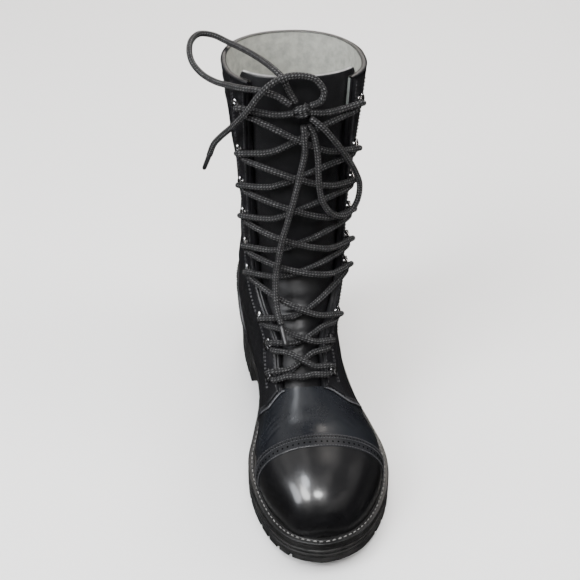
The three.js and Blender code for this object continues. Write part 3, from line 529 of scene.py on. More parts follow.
def stops(length, pitch, near, far):
    """Shares of a length in even steps, with closer ones at an end that has a rounded edge."""
    close = np.array([0, 0.12, 0.35, 0.7, 1.1, 1.6])
    inner = np.linspace(2.2 if near else 0, length - (2.2 if far else 0), max(2, int(length / pitch)))
    parts = [close if near else np.array([]), inner, length - close[::-1] if far else np.array([])]
    return np.concatenate(parts) / length


def lengths(points, axis):
    """The length run along one axis of a grid of points, and the length still left."""
    step = np.linalg.norm(np.diff(points, axis=axis), axis=-1)
    pad = [(0, 0), (0, 0)]
    pad[axis] = (1, 0)
    run = np.cumsum(np.pad(step, pad), axis=axis)
    total = np.take(run, [-1], axis=axis)
    return run, total - run


# Creases, as a line of (row, distance from the ridge), the width, and the depth in millimetres.
# A negative depth is a ridge.
CREASES = [
    ([(6.55, -26), (6.75, -12), (6.8, 2), (6.75, 16), (6.5, 30)], 6.5, 0.7),
    ([(6.30, -42), (6.55, -34), (6.95, -24), (7.1, -17)], 1.5, 0.5),
    ([(6.50, -42), (6.80, -34), (7.20, -25), (7.35, -18)], 1.3, 0.4),
    ([(6.75, -42), (7.05, -34), (7.45, -26), (7.6, -20)], 1.4, 0.45),
    ([(7.1, -40), (7.4, -33), (7.8, -26), (7.95, -21)], 1.6, 0.35),
    ([(6.4, 36), (6.9, 28), (7.2, 20)], 2.0, 0.3),
    ([(6.9, 38), (7.3, 31), (7.6, 24)], 2.2, 0.3),
    ([(7.5, -12), (7.9, -2), (7.8, 10)], 6.0, 0.35),
]


def crease_set(creases):
    """The creases as dense lines in space."""
    out = []
    for places, width, depth in creases:
        u, across = resample(centripetal(places), 40)[0].T
        out.append((surface(u, angle_from_ridge(u, across)), width, depth))
    return out


def crease_lift(points, lines):
    """How far the creases push the points out, fading at both ends of each line."""
    flat = points.reshape(-1, 3)
    lift = np.zeros(len(flat))
    for line, width, depth in lines:
        reach = width * 3
        near = np.all((flat > line.min(0) - reach) & (flat < line.max(0) + reach), axis=1)
        if not near.any():
            continue
        gap = np.linalg.norm(flat[near][:, None] - line[None], axis=2)
        at = gap.argmin(1)
        taper = np.sin(math.pi * (0.06 + 0.88 * at / (len(line) - 1)))
        lift[near] -= depth * taper * np.exp(-(gap.min(1) / width) ** 2)
    return lift.reshape(points.shape[:-1])


def waves(points, amount, size, seed):
    """A low soft unevenness of the leather."""
    rng = np.random.default_rng(seed)
    lift = np.zeros(points.shape[:-1])
    for _ in range(7):
        way = rng.normal(size=3)
        way /= np.linalg.norm(way) * size * rng.uniform(0.7, 1.6)
        lift += np.sin(points @ way * 2 * math.pi + rng.uniform(0, 6.28))
    return lift * amount / 3


NOSE_SHARES = (0.001, 0.15, 0.35, 0.55, 0.75, 0.9, 0.97)


def closed_nose(points, bulge):
    """More rings before the first one, which close it over in a low dome at the toe."""
    ring = points[0]
    centre = ring[ring[:, 2] > ring[:, 2].mean() - 8].mean(0)
    rows = []
    for share in NOSE_SHARES:
        row = centre + (ring - centre) * share
        row[:, 1] -= bulge * (1 - share * share)
        rows.append(row)
    return np.concatenate([np.array(rows), points])


FAR = 99.0
EDGE_ROUND = 1.3
WAVE_SIZE = 30


def patch(name, place, size, pitch, base, thick, edges, material, lines=(), uneven=0.0, seed=1, floor=True,
          replaces=(), slot="upper_leather", nose=0.0):
    """A sheet on the surface. place(s, t) gives rows and angles; edges says which of the four sides
    (s low, s high, t low, t high) are rounded down to the base."""
    s = stops(size[0], pitch, edges[0], edges[1])
    t = stops(size[1], pitch, edges[2], edges[3])
    S, T = np.meshgrid(s, t, indexing="ij")
    U, A = place(S, T)
    ground = surface(U, A)
    s_run, s_left = lengths(ground, 0)
    t_run, t_left = lengths(ground, 1)
    gap = np.full(U.shape, FAR)
    for wanted, run in zip(edges, (s_run, s_left, t_run, t_left)):
        if wanted:
            gap = np.minimum(gap, run)
    edge = np.sqrt(1 - (1 - np.clip(gap / EDGE_ROUND, 0, 1)) ** 2)
    lift = base + thick * edge
    if lines:
        lift = lift + crease_lift(ground, lines) * np.clip(gap / 4, 0.25, 1)
    if uneven:
        lift = lift + waves(ground, uneven, WAVE_SIZE, seed)
    points = ground + normal_at(U, A) * lift[..., None]
    if nose:
        points = closed_nose(points, nose)
    if floor:
        points[..., 2] = np.maximum(points[..., 2], rise(points[..., 1]) + WELT_TOP - 0.2)
    faces = grid_faces(*points.shape[:2])
    make_mesh(name, points.reshape(-1, 3), faces, material, slot, replaces)


TUBE_TIP = 0.35


def tube(path, diameter, sides=14, pitch=1.0, cap=True):
    """A round tube along a path, as points, faces and UVs with the length in metres. One diameter for
    the whole path spaces its rings evenly; a row of diameters keeps the path's own places."""
    total = polyline_length(path)
    line = np.asarray(path)
    if np.ndim(diameter) == 0:
        line = resample(line, max(8, int(total / pitch)))[0]
    ahead = np.gradient(line, axis=0)
    ahead /= np.linalg.norm(ahead, axis=1, keepdims=True)
    up = np.cross(ahead[0], [0.3, 0.9, 0.2])
    rings = []
    radius = np.broadcast_to(np.asarray(diameter, float) / 2, (len(line),))
    for k in range(len(line)):
        up = up - ahead[k] * up.dot(ahead[k])
        up /= np.linalg.norm(up)
        side = np.cross(ahead[k], up)
        turn = np.linspace(0, 2 * math.pi, sides, endpoint=False)
        rings.append(line[k] + radius[k] * (np.cos(turn)[:, None] * up + np.sin(turn)[:, None] * side))
    points = np.concatenate(rings)
    faces, face_uv = [], []
    run = np.linspace(0, total / 1000, len(line))
    for i in range(len(line) - 1):
        for j in range(sides):
            k = (j + 1) % sides
            faces.append((i * sides + j, i * sides + k, (i + 1) * sides + k, (i + 1) * sides + j))
            u0, u1 = j / sides, (j + 1) / sides
            face_uv += [(u0, run[i]), (u1, run[i]), (u1, run[i + 1]), (u0, run[i + 1])]
    if cap:
        base = len(points)
        first_tip = line[:1] - ahead[:1] * radius[0] * TUBE_TIP
        last_tip = line[-1:] + ahead[-1:] * radius[-1] * TUBE_TIP
        points = np.vstack([points, first_tip, last_tip])
        last = (len(line) - 1) * sides
        for j in range(sides):
            k = (j + 1) % sides
            faces += [(base, k, j), (base + 1, last + j, last + k)]
            face_uv += [(0, 0)] * 6
    return points, faces, face_uv


def polyline_length(path):
    return float(np.linalg.norm(np.diff(np.asarray(path), axis=0), axis=1).sum())


def spaced(line, normals, pitch, reach):
    """Places every pitch along a line: their number, both ends of a reach around each, the middles and
    the normals there."""
    run = running(line)
    at = np.arange(pitch / 2, run[-1], pitch)

    def pick(distance, table):
        return np.stack([np.interp(distance, run, table[:, k]) for k in range(3)], 1)

    normal = pick(at, normals)
    normal /= np.linalg.norm(normal, axis=1, keepdims=True)
    return len(at), pick(at - reach, line), pick(at + reach, line), pick(at, line), normal


STITCH_SIDES = 6
# Shares of a stitch's length, and how full the thread is there
STITCH_SHAPE = ((0, 0.12), (0.18, 0.8), (0.5, 1), (0.82, 0.8), (1, 0.12))


def stitch_run(line, normals, pitch, length, width, sink):
    """Short raised stitches along a line, as points and faces."""
    count, a, b, _, n = spaced(line, normals, pitch, length / 2)
    ahead = b - a
    side = np.cross(n, ahead)
    side /= np.linalg.norm(side, axis=1, keepdims=True)
    points, faces = [], []
    for k in range(count):
        start = len(points)
        for share, size in STITCH_SHAPE:
            centre = a[k] + ahead[k] * share + n[k] * (width * 0.5 * size - sink)
            for j in range(STITCH_SIDES):
                w = j * math.pi / 3
                out = side[k] * math.cos(w) * width / 2 * size + n[k] * math.sin(w) * width / 2 * size
                points.append(centre + out)
        for i in range(len(STITCH_SHAPE) - 1):
            for j in range(STITCH_SIDES):
                near, far = start + i * STITCH_SIDES, start + (i + 1) * STITCH_SIDES
                k1 = (j + 1) % STITCH_SIDES
                faces.append((near + j, near + k1, far + k1, far + j))
    return points, faces


HOLE_SIDES = 10


def hole_row(line, normals, pitch, radius):
    """Small round punched places along a line, as flat discs a hair over the leather."""
    count, a, b, centre, n = spaced(line, normals, pitch, 0.5)
    ahead = b - a
    ahead /= np.linalg.norm(ahead, axis=1, keepdims=True)
    side = np.cross(n, ahead)
    points, faces = [], []
    for k in range(count):
        start = len(points)
        for j in range(HOLE_SIDES):
            w = 2 * j * math.pi / HOLE_SIDES
            points.append(centre[k] + (ahead[k] * math.cos(w) + side[k] * math.sin(w)) * radius)
        faces.append(tuple(range(start, start + HOLE_SIDES)))
    return points, faces


def surface_line(u, angle, lift):
    """A line over the upper, and the normals along it."""
    u, angle = np.broadcast_arrays(np.asarray(u, float), np.asarray(angle, float))
    lift = np.broadcast_to(np.asarray(lift, float), u.shape)
    return offset_point(u, angle, lift), normal_at(u, angle)


# Camera and cords

# The photo's camera: its place in millimetres, its tilt and turn, its focal length in pixels of a
# picture 580 wide, the pixel that the narrower picture is centred on, and how much narrower it is
EYE = np.array([-80.25, -649.95, 625.19])
PITCH, YAW = 0.6852, 0.0667
FOCAL = 666.94
PICTURE = 580
AIM = (312.0, 258.0)
ZOOM = 1.62
SENSOR = 36


def make_camera():
    ahead = Vector((math.sin(YAW) * math.cos(PITCH), math.cos(YAW) * math.cos(PITCH), -math.sin(PITCH)))
    right = Vector((math.cos(YAW), -math.sin(YAW), 0))
    up = right.cross(ahead)
    look = ahead + right * ((AIM[0] - PICTURE / 2) / FOCAL) - up * ((AIM[1] - PICTURE / 2) / FOCAL)
    cam = bpy.data.cameras.new("camera")
    cam.sensor_width = SENSOR
    cam.lens = FOCAL * ZOOM / PICTURE * SENSOR
    obj = bpy.data.objects.new("camera", cam)
    obj.location = Vector((EYE + SHIFT) / 1000)
    obj.rotation_euler = look.to_track_quat("-Z", "Y").to_euler()
    bpy.context.scene.collection.objects.link(obj)
    bpy.context.scene.camera = obj


make_camera()

# The lines of the loose bow, laid over the photo's, in the frame of the sections
LOOP_LEFT = [
    (-3.5, 22.5, 285.2), (-8, 24, 293.5), (-12, 27, 302), (-18.5, 37, 305.6), (-28, 66, 302), (-37, 90, 298),
    (-45, 112, 293.4), (-55, 119, 296), (-65, 116, 299), (-71.5, 106, 299), (-74, 95, 296), (-72.5, 84, 291),
    (-66.5, 73, 287), (-58.5, 62, 286), (-50, 49, 288.6), (-39, 34.5, 292.2), (-28.4, 27, 293.6),
    (-17, 21.5, 291.5), (-7.5, 20, 285.5),
]
LOOP_RIGHT = [
    (6.4, 17.5, 275.5), (14, 14.5, 270), (25, 16.5, 255.2), (34.5, 22, 239), (41, 28, 225), (45.5, 32, 211),
    (44, 31, 198), (38, 26, 191.5), (30, 19.5, 192.5), (21, 14, 200), (14.6, 12, 212), (12, 11.5, 228),
    (11, 12.5, 248), (8.5, 15, 263), (4.6, 16.8, 271),
]
END_FRONT = [
    (0.8, 13.2, 272.4), (1.4, 12.2, 265), (2, 12.8, 252), (-1.6, 12, 233), (-6, 10.6, 214), (-10.4, 9.6, 197),
    (-14.8, 9, 180.5), (-18, 7.6, 163), (-20.5, 5, 147), (-20.6, -5, 131), (-18.4, -17, 122),
]
END_LEFT = [
    (7, 21.5, 283.2), (13.5, 19, 287.5), (15.6, 20, 294), (9.5, 22.5, 302.5), (-2, 22, 306),
    (-12.5, 20.5, 305.6), (-22, 18.6, 301.4), (-30, 19.6, 292.6), (-36.5, 22.8, 281.5), (-43.6, 29, 270),
    (-49.4, 37.6, 259.5), (-55, 45, 250.5), (-60.5, 51, 241), (-64, 55, 230),
]
TIP_LENGTH = 16.0
RING_SEAT = QUARTER_STEP + GAP + OVERLAY + GAP


def make_tip(name, route):
    """The stiff tip after the end of a cord."""
    line = centripetal(route)
    ahead = line[-1] - line[-2]
    ahead /= np.linalg.norm(ahead)
    share = np.linspace(0, 1, 18)
    path = line[-1] + ahead * (GAP + share[:, None] * TIP_LENGTH)
    width = 3.9 - 0.5 * share
    width[0], width[-1], width[-2] = 3.2, 2.4, 3.2
    points, faces, uvs = tube(path, width, 16)
    return make_mesh(name, points, faces, TIP, "lace_tip_plastic", (f"lace_{name}",), uvs)


def make_cord(name, route):
    """A loose piece of lace along a route."""
    line = centripetal(route)
    points, faces, uvs = tube(line, LACE)
    obj = make_mesh(name, points, faces, BRAID, "lace_braid", (f"lace_{name}",), uvs)


def frame_of(place, side):
    """A ring's seat on its eyestay: origin, along the edge, towards the throat, and outward."""
    angle = float(edge_angle(place, side, RIVET_FROM_EDGE))
    normal = normal_at(place, angle)
    inward = surface(place, angle - side * 0.01) - surface(place, angle)
    inward /= np.linalg.norm(inward)
    return offset_point(place, angle, RING_SEAT), np.cross(inward, normal), inward, normal


RING_PLACES = [10.1, 12.6, 14.4, 16.5, 17.5, 18.45, 19.35, 20.25, 21.4]
TURN_FROM_RIVET = 2 + RING_LENGTH * math.cos(RING_TILT) + 2 + LACE / 2 + 2 * GAP
TURN_LIFT = RING_SEAT + 1 + RING_LENGTH * math.sin(RING_TILT)
LOW_LIFT, HIGH_LIFT = 2.5, 2.5 + LACE + GAP
THROUGH = 8.0
LOOP_REACH = 9.6
LOOP_TILT = 0.47
CLIP_WIDTH = 2.4
DROOPS = (0.10, 0.12, 0.18, 0.12, 0.1, 0.08, 0.1, 0.16)
PINCH, PINCH_REACH = 0.9, 3.2
RING_MIDDLES = []


def ring_turn(index, side):
    """Places where the lace goes up through a ring: in under its tip, through it, and out over it."""
    origin, across, inward, normal = frame_of(RING_PLACES[index], side)
    up = across if across[2] > 0 else -across
    lift = TURN_LIFT - RING_SEAT
    places = ((-2.9, TURN_FROM_RIVET, lift - 2.2), (-1.5, THROUGH + 0.7, lift - 2.4),
              (0, THROUGH, lift - 0.6),
              (1.5, THROUGH + 0.7, lift + 1.2), (2.9, TURN_FROM_RIVET, lift + 1.0))
    turn = [origin + up * a + inward * i + normal * n for a, i, n in places]
    RING_MIDDLES.append(turn[2])
    return turn


def strand_points(i, side_from, j, side_to, middle, bend):
    """A strand from one ring to another, lower over the tongue and sagging down by bend rows."""
    u0, u1 = RING_PLACES[i], RING_PLACES[j]
    reach = RIVET_FROM_EDGE - TURN_FROM_RIVET
    a0, a1 = float(edge_angle(u0, side_from, reach)), float(edge_angle(u1, side_to, reach))
    t = np.array([0.22, 0.36, 0.5, 0.64, 0.78])
    end = (2 * t - 1) ** 2
    u = u0 + (u1 - u0) * t - bend * (1 - end)
    return list(offset_point(u, a0 + (a1 - a0) * t, middle + (TURN_LIFT - middle) * end))


def lace_route(first_side):
    """One half of the lacing, from the lowest ring of one side to the top one."""
    points, side = [], first_side
    for i in range(len(RING_PLACES) - 1):
        points += ring_turn(i, side)
        points += strand_points(i, side, i + 1, -side, LOW_LIFT if side < 0 else HIGH_LIFT, DROOPS[i])
        side = -side
    return points + ring_turn(len(RING_PLACES) - 1, side), side


KNOT = offset_point(np.array(KNOT_ROW), np.array(0.0), np.array(KNOT_ROUND - WALL + GAP))


def knot_tail(side, last):
    """The lace from a top ring down to the knot."""
    way = KNOT + np.array([side * 5.5, -2, 0]) - last
    return [last + way * share + np.array([0, 0, sag])
            for share, sag in ((0.35, -1.8), (0.7, -2.4), (1.0, 0))]


def make_lacing():
    """The laced stretch, one line from the knot down one way and up the other, pinched at the rings."""
    one, end_one = lace_route(-1)
    two, end_two = lace_route(1)
    bar = strand_points(0, -1, 0, 1, LOW_LIFT + 1.5, 0.22)
    route = knot_tail(end_one, one[-1])[::-1] + one[::-1] + bar + two + knot_tail(end_two, two[-1])
    line = centripetal(route, per=12)
    line = resample(line, int(polyline_length(line)))[0]
    near = np.linalg.norm(line[:, None] - np.array(RING_MIDDLES)[None], axis=2).min(1)
    width = LACE - PINCH * np.exp(-(near / PINCH_REACH) ** 2)
    points, faces, uvs = tube(line, width)
    make_mesh("lacing", points, faces, BRAID, "lace_braid", ("lace_crossings",), uvs)


KNOT_SQUEEZE = 0.94
COIL_TURNS = 2.2


def knot_lines():
    """Two wound turns of lace, a band over them, and the crossing strand in their middle."""
    t = np.linspace(0, 2 * math.pi * COIL_TURNS, 90)
    yield np.stack([np.cos(t) * 3.6 + np.sin(t * 0.5), np.sin(t) * 2.6 - 0.5, (t / t[-1] - 0.5) * 7.5], 1)
    t = np.linspace(0, 2 * math.pi, 60)
    yield np.stack([np.sin(t) * 4.6, -np.abs(np.cos(t * 0.5)) * 2.2 + 0.5, np.cos(t) * 3.2 + 0.5], 1)
    bow = np.sin(np.linspace(0, 3.14, 40)) * 1.5
    yield np.stack([np.linspace(-6, 6, 40), np.full(40, -0.2), bow], 1)


def make_knot():
    """The bow's knot, one piece of three tubes."""
    tubes = [tube(line + KNOT, LACE * KNOT_SQUEEZE, pitch=0.8) for line in knot_lines()]
    points, faces = merged([part[:2] for part in tubes])
    uvs = [uv for part in tubes for uv in part[2]]
    return make_mesh("knot", points, faces, BRAID, "lace_braid", ("lace_knot",), uvs)


knot = make_knot()
tip_front = make_tip("tip_front", END_FRONT)
tip_left = make_tip("tip_left", END_LEFT)
make_cord("loop_left", LOOP_LEFT)
make_cord("loop_right", LOOP_RIGHT)
make_cord("end_front", END_FRONT)
make_cord("end_left", END_LEFT)
make_lacing()

# Radius and height down the round head of a rivet
RIVET_HEAD = ((0, 3.4), (1.2, 3.32), (2.2, 3.02), (3.1, 2.45), (3.7, 1.75), (3.95, 1.05), (4.0, 0.0))
RIVET_SIDES = 22


def ring_shape():
    """One riveted ring lying flat: rounded head, the wire loop rising from it and the clip that holds it."""
    points = []
    for r, z in RIVET_HEAD:
        for k in range(RIVET_SIDES):
            w = 2 * math.pi * k / RIVET_SIDES
            points.append((r * math.cos(w), r * math.sin(w), z))
    faces = [f[::-1] for f in grid_faces(len(RIVET_HEAD), RIVET_SIDES, wrap=True)]
    parts = [(np.array(points), faces)]
    # The wire's ends dip into the rivet's head
    w = np.linspace(-0.25, math.pi + 0.25, 30)
    loop = np.stack([-(RING_WIDTH - WIRE) / 2 * np.cos(w),
                     2 + LOOP_REACH * np.sin(w) * math.cos(LOOP_TILT),
                     WIRE / 2 + LOOP_REACH * np.maximum(np.sin(w), -0.1) * math.sin(LOOP_TILT)], 1)
    parts.append(tube(loop, WIRE, 10, 0.8)[:2])
    clip = np.array([(-4.6, 0.5, 1.3), (-3, 1.6, 1.5), (0, 2.1, 1.6), (3, 1.6, 1.5), (4.6, 0.5, 1.3)])
    parts.append(tube(centripetal(clip), CLIP_WIDTH, 8, 0.8)[:2])
    return parts


def make_rings():
    """A ring in each of its places, one piece each."""
    parts = ring_shape()
    for side, word in ((-1, "medial"), (1, "lateral")):
        for i, place in enumerate(RING_PLACES):
            origin, across, inward, normal = frame_of(place, side)
            basis = np.stack([across, inward, normal])
            points, faces = merged([(p @ basis + origin, f) for p, f in parts])
            name = f"ring_{word}_{i + 1}"
            make_mesh(name, points, faces, ENAMEL, "ring_metal", (f"lace_{name}",))


make_rings()

# Upper

OPEN_EDGES = (False, False, False, False)
BAND = 11.5
# How far around a sheet of the forefoot goes from its ridge, to end below the welt
HALF_TURN = 2.55
# How much further the cap goes at its nose
NOSE_TURN = 0.59


def vamp_place(s, t):
    """The vamp, from a little under the cap to a little under the throat's foot."""
    return CAP_ROW - 0.35 + (THROAT_ROW + 0.55 - CAP_ROW) * s, (2 * t - 1) * 2.5


def back_from_cap(distance, angle):
    """The row that lies a distance in front of the cap's rear edge."""
    step = np.linalg.norm(surface(CAP_ROW, angle) - surface(CAP_ROW - 0.5, angle), axis=-1)
    return CAP_ROW - 0.5 * distance / step


def cap_place(s, t):
    """The cap goes all the way around at the nose, and down to the welt behind it."""
    angle = (2 * t - 1) * (HALF_TURN + NOSE_TURN * (1 - smooth(s / 0.3)))
    return back_from_cap(BAND - 1.5, angle) * s, angle


def band_place(s, t):
    angle = (2 * t - 1) * HALF_TURN
    front = back_from_cap(BAND, angle)
    return front + (CAP_ROW - front) * s, angle


patch("vamp", vamp_place, (75, 250), 1.3, 0, 0.02, OPEN_EDGES, VAMP, crease_set(CREASES), 0.18, 3,
      replaces=("upper",))
patch("toe_cap_skin", cap_place, (95, 210), 1.2, GAP, OVERLAY, OPEN_EDGES, GLOSS, (), 0.03, 5,
      replaces=("toe_cap",), slot="gloss_leather", nose=1.4)
patch("cap_band", band_place, (BAND, 230), 0.9, GAP + OVERLAY - 0.9, 1.5, (True, True, False, False),
      BAND_LEATHER, (), 0.04, 6)


def half_place(side, low=None):
    """From the throat edge around to the middle of the back, and from the quarter's front edge up."""
    top = COLLAR_ROW + 0.02

    def place(s, t):
        start_u = THROAT_ROW if low is None else low
        u = start_u + (top - start_u) * s
        for _ in range(3):
            start = np.abs(angle_from_ridge(u, side * throat_half(u)))
            angle = start + (math.pi - start) * t
            front = quarter_front(angle) if low is None else low
            u = front + (top - front) * s
        return u, side * angle
    return place


# Folds of the ankle on one side, as rows and angles, the width and the depth
ANKLE_FOLDS = [
    ([(13.2, 0.95), (13.7, 1.35), (13.9, 1.8), (13.8, 2.3)], 5.0, 0.9),
    ([(13.9, 1.0), (14.4, 1.5), (14.7, 2.1)], 4.5, -0.7),
    ([(14.7, 0.95), (15.2, 1.4), (15.4, 2.0), (15.3, 2.6)], 5.5, 1.0),
    ([(15.8, 1.1), (16.2, 1.6), (16.2, 2.2)], 6.0, -0.6),
    ([(16.6, 1.0), (17.0, 1.5), (17.1, 2.2), (17.0, 2.8)], 7.0, 0.8),
    ([(18.3, 1.2), (18.5, 1.7), (18.4, 2.3)], 9.0, 0.6),
    ([(11.9, 1.0), (12.3, 1.3), (12.6, 1.7)], 5.0, 0.6),
]


def ankle_folds(side):
    """The folds on one side, a little higher on the outer one."""
    out = []
    for places, width, depth in ANKLE_FOLDS:
        u, angle = resample(centripetal(places), 50)[0].T
        out.append((surface(u + 0.12 * side, side * angle), width, depth))
    return out


def eyestay_place(side):
    """The foot of the eyestay follows the quarter's front edge."""

    def place(s, t):
        u = THROAT_ROW + (COLLAR_ROW - THROAT_ROW) * s
        angle = edge_angle(u, side, EYESTAY_INSET + t * EYESTAY_WIDTH)
        foot = quarter_front(angle) + 0.12
        return np.where(u < THROAT_ROW + 1, foot + (u - THROAT_ROW) * (THROAT_ROW + 1 - foot), u), angle
    return place


def foot_lining_place(s, t):
    return 0.6 + 8.5 * s, (2 * t - 1) * math.pi


SIDES = ((1, "lateral"), (-1, "medial"))
for side, word in SIDES:
    patch(f"quarter_{word}", half_place(side), (230, 190), 1.5, 0.0, QUARTER_STEP,
          (True, False, True, False), QUARTER, ankle_folds(side), 0.3, 7 + side)
    patch(f"eyestay_skin_{word}", eyestay_place(side), (250, EYESTAY_WIDTH), 1.4, QUARTER_STEP,
          GAP + OVERLAY, (True, False, True, True), QUARTER, (), 0.12, 11, replaces=(f"eyestay_{word}",))
    patch(f"lining_{word}", half_place(side, low=9.0), (220, 180), 3, -WALL, 0, OPEN_EDGES, LINING)
patch("lining_foot", foot_lining_place, (150, 220), 4, -WALL, 0, OPEN_EDGES, LINING)

COUNTER_EDGE = [(.170, -.15), (.200, .25), (.270, .50), (.370, .68), (.460, .78), (.540, .80)]


def counter_top(y):
    """Height of the counter's upper edge at a place along the length."""
    foot = HEEL_RISE + UPPER_BOTTOM
    edge = centripetal([(a * SOLE_LENGTH, foot + b * COUNTER_HEIGHT) for a, b in COUNTER_EDGE])
    return np.interp(y, edge[:, 0], edge[:, 1])


COUNTER_FRONT, COUNTER_BACK = 10.2, 15.96
BACKSTAY_ROW = 14.0


def counter_side(u, side):
    """The angle where the counter's upper edge crosses a row."""
    low, high = np.full(np.shape(u), 0.9), np.full(np.shape(u), math.pi)
    for _ in range(24):
        middle = (low + high) / 2
        p = surface(u, side * middle)
        above = p[..., 2] > counter_top(p[..., 1])
        low, high = np.where(above, middle, low), np.where(above, high, middle)
    return low


def counter_row(angle):
    """The row where the counter's upper edge crosses an angle behind the ankle."""
    low, high = np.full(np.shape(angle), 12.0), np.full(np.shape(angle), 19.0)
    for _ in range(24):
        middle = (low + high) / 2
        p = surface(middle, angle)
        below = p[..., 2] < counter_top(p[..., 1])
        low, high = np.where(below, middle, low), np.where(below, high, middle)
    return low


def counter_place(s, t):
    u = COUNTER_BACK - (COUNTER_BACK - COUNTER_FRONT) * (1 - s) ** 1.7
    start, stop = counter_side(u, 1), counter_side(u, -1)
    return u, start + (2 * math.pi - start - stop) * t


def backstay_place(s, t):
    u = BACKSTAY_ROW + (COLLAR_ROW - BACKSTAY_ROW) * s
    return u, angle_after(u, math.pi, (2 * t - 1) * BACKSTAY_WIDTH / 2)


patch("counter_skin", counter_place, (110, 230), 1.5, QUARTER_STEP, GAP + OVERLAY,
      (False, True, True, True), QUARTER, (), 0.15, 21, replaces=("counter",))
patch("backstay_skin", backstay_place, (215, BACKSTAY_WIDTH), 1.5, QUARTER_STEP, GAP + OVERLAY - 0.2,
      (True, False, True, True), QUARTER, (), 0.1, 23, replaces=("backstay",))


FOLD_ROW = 21.1


def edge_roll(name, u, angle, outer, inner, up, material, swell=0.75, index=None):
    """A rounded edge from the outer lift over to the inner one; up points out of the edge."""
    k = np.linspace(0, math.pi, 9)
    middle, half = (outer + inner) / 2, (outer - inner) / 2
    base, normal = surface(u, angle), normal_at(u, angle)
    rows = [base + normal * (middle + half * math.cos(a)) + up * (half * swell * math.sin(a)) for a in k]
    points = np.stack(rows, 1)
    faces = grid_faces(*points.shape[:2])
    make_mesh(name, points.reshape(-1, 3), faces, material, "upper_leather", index=index)


def make_edges():
    """The edges of the throat, and the binding around the collar."""
    for side, word in SIDES:
        u = np.linspace(THROAT_ROW, COLLAR_ROW, 160)
        angle = angle_from_ridge(u, side * throat_half(u))
        across = surface(u, angle - side * 0.02) - surface(u, angle)
        across /= np.linalg.norm(across, axis=1, keepdims=True)
        # The lining shows along the inner part of the edge near the top of the outer side, in a darker copy
        # of the lining that is painted shade
        shown = np.repeat((u[:-1] > FOLD_ROW) & (side > 0), 8) & np.tile(np.arange(8) > 2, len(u) - 1)
        edge_roll(f"throat_edge_{word}", u, angle, QUARTER_STEP + 0.1, -WALL, across, (QUARTER, LINING_SHADE), 0.35,
                  shown.astype(int))
    start = float(angle_from_ridge(COLLAR_ROW, throat_half(COLLAR_ROW)))
    stop = float(-angle_from_ridge(COLLAR_ROW, -throat_half(COLLAR_ROW)))
    angle = np.linspace(start, 2 * math.pi - stop, 260)
    u = np.full(angle.shape, float(COLLAR_ROW))
    rise_way = surface(u, angle) - surface(u - 0.1, angle)
    rise_way /= np.linalg.norm(rise_way, axis=1, keepdims=True)
    edge_roll("collar_binding", u, angle, QUARTER_STEP + 0.25, -WALL - 0.2, rise_way, QUARTER, 0.5)


make_edges()

# Folds across the tongue: rows with millimetres from its middle, the width and the depth
TONGUE_CREASES = [
    ([(14.75, -14), (14.85, -4), (14.8, 8), (14.7, 15)], 1.8, -1.3),
    ([(15.1, -15), (15.2, -4), (15.15, 8), (15.05, 16)], 1.5, -0.9),
    ([(14.9, -15), (15.02, -4), (14.98, 8), (14.9, 15)], 1.6, 1.1),
    ([(15.7, -20), (15.9, -8), (15.85, 8), (15.7, 20)], 4, -0.8),
    ([(16.3, -24), (16.55, -8), (16.5, 10), (16.3, 24)], 4, 0.9),
    ([(17.1, -28), (17.3, -10), (17.2, 8), (17.35, 26)], 5, -0.8),
    ([(18.0, -28), (18.1, -10), (18.25, 10), (18.1, 28)], 5, 0.8),
    ([(18.8, -30), (18.95, -12), (18.8, 6), (19.0, 26)], 5, -0.7),
    ([(19.7, -30), (19.9, -10), (19.75, 12), (19.9, 30)], 6, 0.7),
    ([(20.6, -30), (20.8, -10), (20.7, 10), (20.9, 30)], 6, -0.6),
    ([(13.6, -12), (13.8, 0), (13.7, 12)], 3, 0.7),
    ([(12.4, -12), (12.6, 0), (12.5, 12)], 3, -0.6),
]


def tongue_place(s, t):
    """The tongue from under the vamp to a little over the collar, with rounded upper corners."""
    u = THROAT_ROW - 0.45 + (COLLAR_ROW + 0.2 - THROAT_ROW + 0.45) * s
    half = throat_half(u) + TONGUE_REACH
    low, high = angle_from_ridge(u, -half), angle_from_ridge(u, half)
    corner = 0.13 * smooth((np.abs(2 * t - 1) - 0.8) / 0.2) * smooth((s - 0.9) / 0.1)
    return u - corner * 4 * s, low * (1 - t) + high * t


patch("tongue_skin", tongue_place, (235, 90), 1.3, -WALL - GAP - 1.3, 1.0, (False, True, True, True), TONGUE,
      crease_set(TONGUE_CREASES), 0.3, 31, floor=False, replaces=("tongue",), slot="tongue_leather")
patch("tongue_back", tongue_place, (235, 90), 3, -WALL - GAP - 2.4, 0.0, OPEN_EDGES, LINING, floor=False,
      slot="tongue_leather")


def make_tongue_edge():
    t = np.linspace(0.0, 1.0, 120)
    u, angle = tongue_place(np.full(t.shape, 1.0), t)
    up = surface(u, angle) - surface(u - 0.1, angle)
    up /= np.linalg.norm(up, axis=1, keepdims=True)
    # The tongue's top edge in light grey: the raw edge, partly a painted highlight
    edge_roll("tongue_top_edge", u, angle, -WALL - GAP - 0.4, -WALL - GAP - 2.4, up, RAW_EDGE_AND_SHEEN, 0.6)


make_tongue_edge()

# Seams


